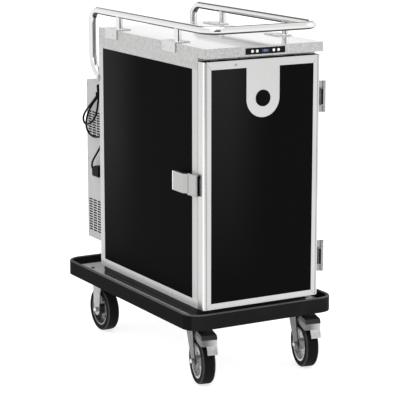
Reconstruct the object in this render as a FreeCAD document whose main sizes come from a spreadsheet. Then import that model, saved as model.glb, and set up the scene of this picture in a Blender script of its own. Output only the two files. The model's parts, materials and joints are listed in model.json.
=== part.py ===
import FreeCAD, Part
import Sketcher
import math
import os
from types import SimpleNamespace

# Refrigerated banquet trolley: an insulated cabinet for tray inserts on a bumper base with
# four casters, a cooling unit on its back and a guard rail on its top.
# Millimetres. X to the right seen from the front, front along -Y, Z up from the floor.

Vector = FreeCAD.Vector
Rotation = FreeCAD.Rotation

# Driving dimensions, all lengths in millimetres and angles in degrees.
SIZES = {
    # Wheels
    "wheel_diameter": "150",
    "wheel_width": "44",
    "tyre_depth": "18",
    "tyre_shoulder": "8",
    "core_width": "38",
    "core_rim": "7",
    "core_web": "12",
    "hub_diameter": "36",
    "hub_length": "48",
    "web_hole_diameter": "17",
    "web_hole_circle": "66",
    "axle_diameter": "10",
    "axle_head_diameter": "17",
    "axle_head_height": "6",
    # Casters
    "fork_gap": "5",
    "fork_leg": "4",
    "fork_boss": "18",
    "fork_crown_length": "64",
    "fork_shoulder": "5",
    "rear_leg_half": "20",
    "rear_leg_top_half": "30",
    "crown_gap": "22",
    "crown_thickness": "5",
    "race_gap": "0.3",
    "race_height": "15.7",
    "race_diameter": "60",
    "kingpin_diameter": "12",
    "kingpin_nut_diameter": "22",
    "kingpin_nut_height": "8",
    "caster_plate_width": "98",
    "caster_plate_length": "84",
    "caster_plate_thickness": "4",
    "caster_trail": "40",
    "swivel_angle": "11.5",
    "front_caster_inset": "78",
    "front_caster_setback": "89",
    "rear_caster_inset": "82",
    "rear_caster_setback": "147",
    "bolt_spacing_across": "78",
    "bolt_spacing_along": "52",
    "bolt_diameter": "8",
    "bolt_head_diameter": "14",
    "bolt_head_height": "5.5",
    # Brake pedals
    "pedal_pivot_forward": "26",
    "pedal_pivot_rise": "11",
    "pedal_pin_diameter": "8",
    "pedal_width": "51",
    "pedal_sheet": "2.5",
    "pedal_reach": "114",
    "pedal_slope": "10",
    "pedal_front_height": "20",
    "pedal_tab_width": "34",
    "pedal_tab_length": "26",
    "pedal_tab_flare": "10",
    "hood_width": "52",
    "hood_height": "14",
    "hood_setback": "35",
    "hood_front_round": "9.8",
    "hood_back_round": "4.2",
    # Base
    "base_width": "540",
    "base_depth": "910",
    "corner_radius": "54",
    "rim_height": "50",
    "rim_wall": "12",
    "rim_round": "5",
    "lip_width": "26",
    "lip_thickness": "11",
    "floor_thickness": "6",
    "plinth_height": "39",
    "plinth_setback": "8",
    "plinth_front_setback": "22",
    "plinth_wall": "10",
    "plinth_groove": "3",
    # Cabinet
    "front_setback": "56",
    "cabinet_width": "426",
    "cabinet_depth": "678",
    "cabinet_height": "755",
    "cabinet_wall": "40",
    "casing_sheet": "3.5",
    "liner_sheet": "1.5",
    "panel_sheet": "3",
    "front_stile": "34",
    "rear_stile": "29.5",
    "bottom_rail": "27",
    "cover_height": "68",
    "cover_sheet": "1.5",
    "header_height": "31",
    "header_overhang": "48",
    # Runners and evaporator inside the cabinet
    "runner_pitch": "75",
    "runner_first": "30",
    "runner_setback": "26",
    "runner_height": "25",
    "runner_ledge": "22",
    "runner_sheet": "2",
    "evaporator_depth": "72",
    "evaporator_side_gap": "23",
    "evaporator_height": "250",
    "evaporator_top_gap": "20",
    "evaporator_sheet": "1.5",
    "coil_depth": "36",
    "coil_height": "190",
    "coil_fin": "3",
    "tube_diameter": "12",
    "small_fan_diameter": "110",
    "motor_diameter": "44",
    "shaft_diameter": "8",
    "fan_hub_diameter": "30",
    "fan_hub_length": "16",
    "fan_blade_width": "22.4",
    "fan_blade_root": "12",
    "fan_tip_gap": "4",
    "fan_blade_sheet": "2",
    "fan_blade_pitch": "28",
    # Door
    "door_gap": "2.5",
    "door_thickness": "33.5",
    "door_bottom_gap": "1.5",
    "door_top_gap": "11",
    "door_edge_radius": "10",
    "door_edge_sheet": "1.5",
    "door_stile": "27.5",
    "door_bottom_rail": "18.5",
    "door_top_rail": "25",
    "tongue_width": "120",
    "tongue_length": "158",
    "disc_diameter": "52",
    "disc_height": "2",
    "gasket_width": "14",
    "gasket_inset": "13",
    "gasket_gap": "0.3",
    # Latch
    "latch_height": "396",
    "latch_body_height": "68",
    "latch_body_length": "50",
    "latch_cheek": "3",
    "latch_base": "3",
    "latch_gap": "0.4",
    "latch_hub": "12.2",
    "latch_pin_diameter": "6",
    "latch_setback": "1",
    "latch_overhang": "12",
    "paddle_length": "83",
    "paddle_offset": "10",
    "paddle_round": "5",
    "paddle_corner": "8",
    "keeper_length": "21",
    "keeper_height": "50",
    "keeper_sheet": "2",
    "keeper_setback": "2",
    "keeper_rim": "2",
    "keeper_slot_width": "9",
    "keeper_slot_height": "42",
    # Hinges
    "hinge_height": "100",
    "hinge_arm_height": "22",
    "hinge_lower": "127",
    "hinge_upper": "646",
    "hinge_out": "18",
    "hinge_back": "8",
    "hinge_barrel_diameter": "11.5",
    "hinge_pin_diameter": "6",
    "hinge_leaf": "2.5",
    "hinge_leaf_length": "52",
    "hinge_door_gap": "0.6",
    "hinge_end_gap": "0.3",
    # Guard rail
    "rail_diameter": "25",
    "rail_wall": "1.5",
    "rail_rise": "52.5",
    "rail_inset": "15.5",
    "rail_front_setback": "7",
    "rail_front_bend": "50",
    "rail_rear_bend": "45",
    "handle_standoff": "79",
    "handle_drop": "171",
    "handle_bend": "75",
    "post_diameter": "22",
    "post_front": "152",
    "post_rear": "124",
    "bracket_ahead": "13",
    "bracket_back": "70",
    "bracket_sheet": "3",
    "bracket_top": "52",
    "bracket_side": "30",
    # Control panel
    "panel_width": "143",
    "panel_height": "20",
    "panel_proud": "0.8",
    "panel_depth": "14",
    "panel_lip": "1.5",
    "button_diameter": "7",
    "button_gap": "0.3",
    "button_proud": "1.2",
    "button_length": "5",
    "button_travel_room": "2",
    "button_inner": "30",
    "button_outer": "47",
    "display_width": "26",
    "display_height": "10",
    "display_recess": "0.5",
    # Cooling unit
    "unit_width": "370",
    "unit_depth": "156",
    "unit_rise": "69",
    "unit_handle_gap": "13.5",
    "unit_sheet": "1.5",
    "slit_length": "26",
    "slit_height": "5",
    "slit_pitch": "9",
    "slit_column_pitch": "33",
    "slit_back_margin": "23",
    "lower_slits_rise": "26.5",
    "upper_slits_rise": "364.5",
    "rear_slit_length": "66",
    "rear_slit_pitch": "84",
    "compressor_diameter": "106",
    "compressor_height": "150",
    "compressor_base_diameter": "90",
    "compressor_top_diameter": "95",
    "compressor_base_round": "5",
    "compressor_dome_round": "26",
    "compressor_foot": "10",
    "compressor_offset": "95",
    "condenser_width": "170",
    "condenser_height": "190",
    "condenser_depth": "36",
    "condenser_fin": "3",
    "condenser_setback": "18",
    "large_fan_diameter": "140",
    # Power cord
    "cord_diameter": "7",
    "plug_width": "26",
    "plug_height": "36",
    "plug_length": "46",
    "plug_grip": "16",
    "plug_grip_low": "13.6",
    "plug_grip_high": "8.5",
    "plug_round": "5",
    "plug_pin_diameter": "4.8",
    "plug_pin_length": "16",
    "plug_pin_spacing": "14",
    "gland_diameter": "12",
    "gland_length": "20",
    "gland_end_diameter": "9.5",
    "hook_diameter": "9",
    "hook_inset": "28",
    "hook_drop": "44",
    "hook_reach": "28",
    "hook_tip_diameter": "6",
    "hook_tip_height": "16",
    "hook_plate": "2",
    "hook_plate_width": "18",
    "hook_plate_height": "22.5",
    "holder_wire": "3",
    "holder_gap": "0.3",
    # Fits
    "running_clearance": "0.05",
    "bolt_clearance": "0.4",
    "round_flat": "0.2",
}

RUNNER_LEVELS = 8
SLIT_COLUMNS = 3
LOWER_SLIT_ROWS = 13
UPPER_SLIT_ROWS = 10
REAR_SLIT_COLUMNS = 4
REAR_SLIT_ROWS = 12
COIL_FINS = 9
COIL_TUBES = 3
FAN_BLADES = 5
WEB_HOLES = 5

# Points of a sketch's lines, arcs and circles, the sketch's own origin and a touching distance
ORIGIN, _, START, END, CENTRE = range(-1, 4)
TOUCH = 0.001

# The share of a cord run that its bends may use, and how closely its gap to itself is sampled
BEND_SHARE = 0.45
SAMPLES_PER_DIAMETER = 4
DIAMETERS_APART = 4

# The cord's route from its gland over the hook and down to the plug, chosen by hand: each point's
# distance out from the unit's left side, behind the cabinet's back and below the unit's top.
CORD_ROUTE = (
    (23.5, 17, 26), (23.5, 17.5, 46), (23.5, 22, 70), (23.5, 29, 93), (23.5, 41, 113), (23.5, 62, 132),
    (23.5, 87, 144), (23.5, 113, 152), (23.5, 132, 147), (23.5, 139, 133), (23.5, 129, 115),
    (23.5, 97, 89), (21.5, 62, 64), (18, 39, 42), (15.8, 29.5, 30.5), (15.3, 18.5, 31.5), (15, 12, 45),
    (14.5, 10.5, 73), (14, 11, 108), (14, 10, 143), (14, 14, 168), (14, 29, 183), (14, 52, 188),
    (14, 76, 191), (14, 106, 186), (14, 126, 176), (14, 136, 160), (14, 132, 138), (14, 119, 111),
    (13, 90, 81), (10.5, 58, 55), (8.6, 39, 39), (7.6, 29.5, 30), (7.2, 18.5, 31.5), (6, 11.5, 47),
    (5, 10, 78), (4.5, 11, 113), (5, 10, 148), (8, 11, 178), (14, 14, 204), (18, 24, 223),
    (20, 43, 244), (20, 67, 266), (18.5, 80, 278), (17, 87, 289), (16, 87.5, 299.5), (15, 81.5, 306.5),
    (14.5, 73.5, 308.5), (14.5, 65.5, 308.5),
)


class Length:
    """A length with its value and the sheet formula that gives it."""

    def __init__(self, value, formula):
        self.value = value
        self.formula = formula

    def __add__(self, other):
        other = as_length(other)
        return Length(self.value + other.value, f"({self.formula} + {other.formula})")

    def __sub__(self, other):
        other = as_length(other)
        return Length(self.value - other.value, f"({self.formula} - {other.formula})")

    def __mul__(self, factor):
        return Length(self.value * factor, f"({self.formula} * ({factor}))")

    def __truediv__(self, factor):
        return Length(self.value / factor, f"({self.formula} / {factor})")

    def __neg__(self):
        return Length(-self.value, f"(0 - {self.formula})")

    def __radd__(self, other):
        return as_length(other) + self

    def __rsub__(self, other):
        return as_length(other) - self

    __rmul__ = __mul__


def as_length(value):
    """A plain number as a length."""
    if isinstance(value, Length):
        return value
    return Length(float(value), f"({value})")


doc = FreeCAD.newDocument("BanquetTrolley")
sheet = doc.addObject("Spreadsheet::Sheet", "Sizes")
for row, (alias, text) in enumerate(SIZES.items(), start=1):
    sheet.set(f"A{row}", alias)
    sheet.set(f"B{row}", text)
    sheet.setAlias(f"B{row}", alias)
doc.recompute()
size = SimpleNamespace(**{alias: Length(float(sheet.get(alias)), f"Sizes.{alias}") for alias in SIZES})

ALONG = {"x": Rotation(Vector(0, 1, 0), 90), "y": Rotation(Vector(1, 0, 0), -90), "z": Rotation()}
sub_parts = []


def bind(thing, path, length):
    """Ties one property of an object to the sheet."""
    thing.setExpression(path, as_length(length).formula)


def place(thing, x=0, y=0, z=0, rotation=None):
    """Turns an object about its own origin and ties its place to the sheet."""
    if rotation is not None:
        thing.Placement = FreeCAD.Placement(Vector(), rotation)
    for axis, length in zip("xyz", (x, y, z)):
        bind(thing, f"Placement.Base.{axis}", length)
    return thing


def sub_part(label, thing):
    """Marks an object as a finished sub-part."""
    thing.Label = label
    sub_parts.append(thing)
    return thing


def box(name, xs, ys, zs):
    """A block between two places along each axis."""
    solid = doc.addObject("Part::Box", name)
    for prop, (low, high) in zip(("Length", "Width", "Height"), (xs, ys, zs)):
        bind(solid, prop, as_length(high) - low)
    return place(solid, xs[0], ys[0], zs[0])


def cylinder(name, radius, axis, span, centre):
    """A cylinder along an axis, with its centre's other two coordinates."""
    solid = doc.addObject("Part::Cylinder", name)
    bind(solid, "Radius", radius)
    bind(solid, "Height", as_length(span[1]) - span[0])
    spot = list(centre)
    spot.insert("xyz".index(axis), span[0])
    return place(solid, *spot, rotation=ALONG[axis])


def hexagon(name, width, axis, span, centre):
    """A hexagonal head or nut along an axis, with its width across corners."""
    solid = doc.addObject("Part::Prism", name)
    solid.Polygon = 6
    bind(solid, "Circumradius", width / 2)
    bind(solid, "Height", as_length(span[1]) - span[0])
    spot = list(centre)
    spot.insert("xyz".index(axis), span[0])
    return place(solid, *spot, rotation=ALONG[axis])


def group(name, things):
    compound = doc.addObject("Part::Compound", name)
    compound.Links = things
    return compound


def fuse(name, things):
    joined = doc.addObject("Part::MultiFuse", name)
    joined.Shapes = things
    joined.Refine = True
    return joined


def cut(name, base, *tools):
    result = doc.addObject("Part::Cut", name)
    result.Base = base
    result.Tool = tools[0] if len(tools) == 1 else group(name + "Tools", list(tools))
    result.Refine = True
    return result


def common(name, things):
    shared = doc.addObject("Part::MultiCommon", name)
    shared.Shapes = things
    return shared


def origin_feature(body, role):
    return next(item for item in body.Origin.OriginFeatures if item.Role == role)


def new_body(name):
    return doc.addObject("PartDesign::Body", name)


def new_sketch(body, name, plane, offset=0):
    """A sketch on one of the body's own planes, moved along the plane's normal."""
    sketch = body.newObject("Sketcher::SketchObject", name)
    sketch.AttachmentSupport = [(origin_feature(body, plane), "")]
    sketch.MapMode = "FlatFace"
    bind(sketch, "AttachmentOffset.Base.z", offset)
    return sketch


def constrain(sketch, length, kind, *targets):
    """Adds a dimension and ties it to the sheet."""
    index = sketch.addConstraint(Sketcher.Constraint(kind, *targets, as_length(length).value))
    bind(sketch, f"Constraints[{index}]", length)


def pin_point(sketch, geometry, point, x, y):
    """Fixes a point's distances from the sketch's origin."""
    constrain(sketch, x, "DistanceX", ORIGIN, START, geometry, point)
    constrain(sketch, y, "DistanceY", ORIGIN, START, geometry, point)


def round_corner(before, corner, after, radius):
    """Where a corner's arc leaves both sides, its centre and whether the outline turns left."""
    back = (before - corner).normalize()
    ahead = (after - corner).normalize()
    half = back.getAngle(ahead) / 2
    trim = radius / math.tan(half)
    centre = corner + (back + ahead).normalize() * (radius / math.sin(half))
    turns_left = (corner - before).cross(after - corner).z > 0
    return corner + back * trim, corner + ahead * trim, centre, turns_left


def outline(body, name, plane, corners, offset=0):
    """A closed sketch through corners (x, y) or, with a round, (x, y, radius)."""
    sketch = new_sketch(body, name, plane, offset)
    corners = [tuple(as_length(part) for part in corner) for corner in corners]
    spots = [Vector(corner[0].value, corner[1].value, 0) for corner in corners]
    count = len(corners)
    starts = list(spots)
    stops = list(spots)
    arcs = {}
    for index, corner in enumerate(corners):
        if len(corner) == 3:
            before = spots[index - 1]
            after = spots[(index + 1) % count]
            arc = round_corner(before, spots[index], after, corner[2].value)
            stops[index], starts[index] = arc[0], arc[1]
            arcs[index] = arc
    for index in range(count):
        sketch.addGeometry(Part.LineSegment(starts[index], stops[(index + 1) % count]), False)
    for index, corner in enumerate(corners):
        previous = (index - 1) % count
        if index not in arcs:
            sketch.addConstraint(Sketcher.Constraint("Coincident", previous, END, index, START))
            pin_point(sketch, index, START, corner[0], corner[1])
            continue
        stop, start, centre, turns_left = arcs[index]
        first, last = (stop, start) if turns_left else (start, stop)
        angles = [math.atan2(spot.y - centre.y, spot.x - centre.x) for spot in (first, last)]
        circle = Part.Circle(centre, Vector(0, 0, 1), corner[2].value)
        arc = sketch.addGeometry(Part.ArcOfCircle(circle, *angles), False)
        end_of_stop, end_of_start = (START, END) if turns_left else (END, START)
        sketch.addConstraint(Sketcher.Constraint("Tangent", previous, END, arc, end_of_stop))
        sketch.addConstraint(Sketcher.Constraint("Tangent", index, START, arc, end_of_start))
        constrain(sketch, corner[2], "Radius", arc)
        point = sketch.addGeometry(Part.Point(spots[index]), True)
        sketch.addConstraint(Sketcher.Constraint("PointOnObject", point, START, previous))
        sketch.addConstraint(Sketcher.Constraint("PointOnObject", point, START, index))
        pin_point(sketch, point, START, corner[0], corner[1])
    return sketch


def circle_sketch(body, name, plane, centre, radius, offset=0):
    sketch = new_sketch(body, name, plane, offset)
    middle = Vector(as_length(centre[0]).value, as_length(centre[1]).value, 0)
    ring = sketch.addGeometry(Part.Circle(middle, Vector(0, 0, 1), as_length(radius).value), False)
    constrain(sketch, radius, "Radius", ring)
    pin_point(sketch, ring, CENTRE, *centre)
    return sketch


def pad(body, name, sketch, length, symmetric=False):
    feature = body.newObject("PartDesign::Pad", name)
    feature.Profile = sketch
    feature.SideType = "Symmetric" if symmetric else "One side"
    bind(feature, "Length", length)
    return feature


def pocket(body, name, sketch, length=None, symmetric=False):
    """Cuts a sketch against its normal, to a depth or right through."""
    feature = body.newObject("PartDesign::Pocket", name)
    feature.Profile = sketch
    feature.SideType = "Symmetric" if symmetric else "One side"
    if length is None:
        feature.Type = "ThroughAll"
    else:
        bind(feature, "Length", length)
    return feature


def revolve(body, name, sketch, axis):
    feature = body.newObject("PartDesign::Revolution", name)
    feature.Profile = sketch
    feature.ReferenceAxis = (origin_feature(body, axis), [""])
    feature.Angle = 360
    return feature


def rectangle(half_x, half_y, radius):
    """Corners of a centred rectangle with round corners."""
    signs = ((-1, -1), (1, -1), (1, 1), (-1, 1))
    return [(half_x * x, half_y * y, radius) for x, y in signs]


# Heights, from the floor up
axle_z = size.wheel_diameter / 2
crown_under = size.wheel_diameter + size.crown_gap
crown_top = crown_under + size.crown_thickness
plate_under = crown_top + size.race_gap + size.race_height
base_under = plate_under + size.caster_plate_thickness
skirt_bottom = base_under - size.lip_thickness
floor_top = base_under + size.floor_thickness
cabinet_bottom = floor_top + size.plinth_height
cabinet_top = cabinet_bottom + size.cabinet_height
cover_top = cabinet_top + size.cover_height
header_bottom = cover_top - size.header_height
door_bottom = cabinet_bottom + size.door_bottom_gap
door_top = header_bottom - size.door_top_gap
rail_z = cover_top + size.rail_rise
handle_z = cover_top - size.handle_drop
unit_bottom = cabinet_bottom + size.unit_rise
unit_top = handle_z - size.rail_diameter / 2 - size.unit_handle_gap

# Places across and along
base_x = size.base_width / 2
base_y = size.base_depth / 2
cabinet_x = size.cabinet_width / 2
inside_x = cabinet_x - size.cabinet_wall
cabinet_front = size.front_setback - base_y
cabinet_back = cabinet_front + size.cabinet_depth
inside_back = cabinet_back - size.cabinet_wall
inside_bottom = cabinet_bottom + size.cabinet_wall
inside_top = cabinet_top - size.cabinet_wall
header_front = cabinet_front - size.header_overhang
door_back = cabinet_front - size.door_gap
door_front = door_back - size.door_thickness
unit_x = size.unit_width / 2
unit_back = cabinet_back + size.unit_depth
front_caster_y = size.front_caster_setback - base_y
rear_caster_y = base_y - size.rear_caster_setback
front_caster_x = base_x - size.front_caster_inset
rear_caster_x = base_x - size.rear_caster_inset
caster_spots = {
    "front_left": (-front_caster_x, front_caster_y),
    "front_right": (front_caster_x, front_caster_y),
    "rear_left": (-rear_caster_x, rear_caster_y),
    "rear_right": (rear_caster_x, rear_caster_y),
}
bolt_offsets = [(size.bolt_spacing_across * (x / 2), size.bolt_spacing_along * (y / 2))
                for x in (-1, 1) for y in (-1, 1)]
bolt_hole = size.bolt_diameter / 2 + size.bolt_clearance


def bolt_holes(name, spot, low, high, radius=bolt_hole):
    """Four cylinders round a caster's bolts, where they pass through a plate or stand on it."""
    return [cylinder(f"{name}{index}", radius, "z", (low, high), (spot[0] + x, spot[1] + y))
            for index, (x, y) in enumerate(bolt_offsets)]


# Base: floor plate, moulded bumper rim and plinth
def base_plate():
    body = new_body("FloorPlate")
    half_x = base_x - size.rim_wall
    half_y = base_y - size.rim_wall
    corners = rectangle(half_x, half_y, size.corner_radius - size.rim_wall)
    pad(body, "FloorPad", outline(body, "FloorOutline", "XY_Plane", corners), size.floor_thickness)
    place(body, z=base_under)
    holes = []
    for name, spot in caster_spots.items():
        holes += bolt_holes(f"FloorHole_{name}", spot, base_under, floor_top)
    sub_part("base_plate", cut("FloorPlateDrilled", body, *holes))


def bumper_rim():
    body = new_body("BumperRim")
    outer = outline(body, "RimOutline", "XY_Plane", rectangle(base_x, base_y, size.corner_radius))
    pad(body, "RimPad", outer, size.rim_height)
    inner_radius = size.corner_radius - size.rim_wall
    inner = rectangle(base_x - size.rim_wall, base_y - size.rim_wall, inner_radius)
    sketch = outline(body, "RimInside", "XY_Plane", inner, size.rim_height)
    pocket(body, "RimPocket", sketch, size.rim_height - size.lip_thickness)
    lip_radius = size.corner_radius - size.lip_width
    lip = rectangle(base_x - size.lip_width, base_y - size.lip_width, lip_radius)
    well = pocket(body, "LipPocket", outline(body, "LipInside", "XY_Plane", lip, size.rim_height))
    doc.recompute()
    top_edges = [f"Edge{index}" for index, edge in enumerate(well.Shape.Edges, start=1)
                 if min(vertex.Z for vertex in edge.Vertexes) > size.rim_height.value - TOUCH]
    rounded = body.newObject("PartDesign::Fillet", "RimRound")
    rounded.Base = (well, top_edges)
    bind(rounded, "Radius", size.rim_round)
    sub_part("bumper_rim", place(body, z=skirt_bottom))


def ring_box(name, half_x, front, back, wall, zs):
    """A rectangular frame with an even wall."""
    outer = box(name + "Outer", (-half_x, half_x), (front, back), zs)
    inner_x = half_x - wall
    inner = box(name + "Inner", (-inner_x, inner_x), (front + wall, back - wall), zs)
    return cut(name, outer, inner)


def plinth():
    half_x = cabinet_x - size.plinth_setback
    front = cabinet_front + size.plinth_front_setback
    back = cabinet_back - size.plinth_setback
    frame = ring_box("PlinthFrame", half_x, front, back, size.plinth_wall, (floor_top, cabinet_bottom))
    middle = floor_top + size.plinth_height / 2
    groove_zs = (middle - size.plinth_groove / 2, middle + size.plinth_groove / 2)
    groove = ring_box("PlinthGroove", half_x, front, back, size.plinth_groove, groove_zs)
    relief = size.bolt_head_diameter / 2 + size.bolt_clearance
    relief_top = floor_top + size.bolt_head_height + size.bolt_clearance
    reliefs = []
    for name, spot in caster_spots.items():
        reliefs += bolt_holes(f"PlinthRelief_{name}", spot, floor_top, relief_top, relief)
    sub_part("plinth", cut("Plinth", frame, groove, *reliefs))


def caster_bolts():
    bolts = []
    for caster, (x, y) in caster_spots.items():
        for index, (across, along) in enumerate(bolt_offsets):
            name = f"Bolt_{caster}{index}"
            spot = (x + across, y + along)
            low = plate_under - size.bolt_head_height
            head = (floor_top, floor_top + size.bolt_head_height)
            pieces = [
                cylinder(name + "Shank", size.bolt_diameter / 2, "z", (low, floor_top), spot),
                hexagon(name + "Head", size.bolt_head_diameter, "z", head, spot),
                hexagon(name + "Nut", size.bolt_head_diameter, "z", (low, plate_under), spot),
            ]
            bolts.append(fuse(name, pieces))
    sub_part("caster_bolts", group("CasterBolts", bolts))


# Casters
fork_inside = size.wheel_width + size.fork_gap * 2
fork_outside = fork_inside + size.fork_leg * 2
pedal_pivot_z = size.wheel_diameter + size.pedal_pivot_rise
swivel = Rotation(Vector(0, 0, 1), -size.swivel_angle.value)


def wheel(side, spot, turn):
    """A wheel core with a tyre bonded to its rim, turning about the local X axis."""
    outer = size.wheel_diameter / 2
    seat = outer - size.tyre_depth
    bore = size.axle_diameter / 2 + size.running_clearance
    half_hub = size.hub_length / 2
    half_rim = size.core_width / 2
    half_web = size.core_web / 2
    hub = size.hub_diameter / 2
    inner_rim = seat - size.core_rim
    right = [(half_hub, bore), (half_hub, hub), (half_web, hub), (half_web, inner_rim),
             (half_rim, inner_rim), (half_rim, seat)]
    left = [(-x, y) for x, y in reversed(right)]
    core = new_body(f"WheelCore_{side}")
    profile = outline(core, f"CoreProfile_{side}", "XY_Plane", right + left)
    revolve(core, f"CoreTurned_{side}", profile, "X_Axis")
    hole_spot = (0, size.web_hole_circle / 2)
    hole = circle_sketch(core, f"WebHole_{side}", "YZ_Plane", hole_spot, size.web_hole_diameter / 2)
    drilled = pocket(core, f"WebPocket_{side}", hole, size.core_web * 2, symmetric=True)
    pattern = core.newObject("PartDesign::PolarPattern", f"WebHoles_{side}")
    pattern.Originals = [drilled]
    pattern.Axis = (origin_feature(core, "X_Axis"), [""])
    pattern.Angle = 360
    pattern.Occurrences = WEB_HOLES
    core.Tip = pattern
    tyre = new_body(f"Tyre_{side}")
    half = size.wheel_width / 2
    section = [(-half, seat), (half, seat), (half, outer, size.tyre_shoulder),
               (-half, outer, size.tyre_shoulder)]
    tread = outline(tyre, f"TyreProfile_{side}", "XY_Plane", section)
    revolve(tyre, f"TyreTurned_{side}", tread, "X_Axis")
    for label, body in ((f"{side}_wheel_core", core), (f"{side}_tyre", tyre)):
        sub_part(label, place(body, *spot, axle_z, rotation=turn))


def axle(name, x=0, y=0):
    """An axle bolt along X with a head and a nut outside the fork's legs."""
    half = fork_outside / 2
    ends = half + size.axle_head_height
    spot = (y, axle_z)
    pieces = [
        cylinder(name + "Shank", size.axle_diameter / 2, "x", (x - half, x + half), spot),
        hexagon(name + "Head", size.axle_head_diameter, "x", (x - ends, x - half), spot),
        hexagon(name + "Nut", size.axle_head_diameter, "x", (x + half, x + ends), spot),
    ]
    return fuse(name, pieces)


def fork_body(name, corners, crown, axle_y):
    """A bent fork: its side profile across the full width, with the wheel's room cut out."""
    body = new_body(name)
    side = outline(body, name + "Side", "YZ_Plane", corners)
    pad(body, name + "Pad", side, fork_outside, symmetric=True)
    reach = size.caster_trail + size.wheel_diameter
    room = [(-reach, 0), (reach, 0), (reach, crown), (-reach, crown)]
    room_side = outline(body, name + "RoomSide", "YZ_Plane", room)
    pocket(body, name + "Room", room_side, fork_inside, symmetric=True)
    bore = size.axle_diameter / 2 + size.running_clearance
    hole = circle_sketch(body, name + "AxleSpot", "YZ_Plane", (axle_y, axle_z), bore)
    return body, pocket(body, name + "AxleHole", hole, fork_outside * 2, symmetric=True)


def round_fork(body, last, top):
    """Rounds the fork's two long upper edges, where the sheet is bent."""
    doc.recompute()
    edges = []
    for index, edge in enumerate(last.Shape.Edges, start=1):
        ends = [vertex.Point for vertex in edge.Vertexes]
        at_top = min(point.z for point in ends) > top.value - TOUCH
        at_side = abs(sum(point.x for point in ends)) > fork_outside.value - TOUCH
        if at_top and at_side:
            edges.append(f"Edge{index}")
    rounded = body.newObject("PartDesign::Fillet", body.Name + "Round")
    rounded.Base = (last, edges)
    bind(rounded, "Radius", size.fork_shoulder)


def swivel_fork(side, spot):
    """The swivel fork, which leans forward to the axle and carries the brake pedal's pin."""
    name = f"Fork_{side}"
    half = size.fork_crown_length / 2
    axle_y = -size.caster_trail
    boss = size.fork_boss
    curve = boss - size.round_flat / 2
    corners = [(half, crown_top), (-half, crown_top), (axle_y - boss, axle_z),
               (axle_y - boss, axle_z - boss, curve), (axle_y + boss, axle_z - boss, curve),
               (axle_y + boss, axle_z), (half, crown_under - size.crown_thickness)]
    body, last = fork_body(name, corners, crown_under, axle_y)
    pin = size.pedal_pin_diameter / 2 + size.running_clearance
    pin_spot = (-size.pedal_pivot_forward, pedal_pivot_z)
    hole = circle_sketch(body, name + "PinSpot", "YZ_Plane", pin_spot, pin)
    pocket(body, name + "PinHole", hole, fork_outside * 2, symmetric=True)
    king = size.kingpin_diameter / 2 + size.running_clearance
    king_hole = circle_sketch(body, name + "KingSpot", "XY_Plane", (0, 0), king, crown_top * 2)
    last = pocket(body, name + "KingHole", king_hole)
    round_fork(body, last, crown_top)
    sub_part(f"{side}_caster_fork", place(body, *spot, rotation=swivel))


def caster_plate(side, spot):
    """The bolted top plate with its ball race and the kingpin that holds the fork."""
    name = f"SwivelPlate_{side}"
    half_x = size.caster_plate_width / 2
    half_y = size.caster_plate_length / 2
    race_under = crown_top + size.race_gap
    nut_top = crown_under - size.race_gap
    nut_bottom = nut_top - size.kingpin_nut_height
    xs = (spot[0] - half_x, spot[0] + half_x)
    ys = (spot[1] - half_y, spot[1] + half_y)
    plate = box(name + "Top", xs, ys, (plate_under, base_under))
    drilled = cut(name + "Drilled", plate, *bolt_holes(name + "Hole", spot, plate_under, base_under))
    pieces = [
        drilled,
        cylinder(name + "Race", size.race_diameter / 2, "z", (race_under, plate_under), spot),
        cylinder(name + "Kingpin", size.kingpin_diameter / 2, "z", (nut_bottom, plate_under), spot),
        hexagon(name + "Nut", size.kingpin_nut_diameter, "z", (nut_bottom, nut_top), spot),
    ]
    sub_part(f"{side}_caster_plate", fuse(name, pieces))


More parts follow.
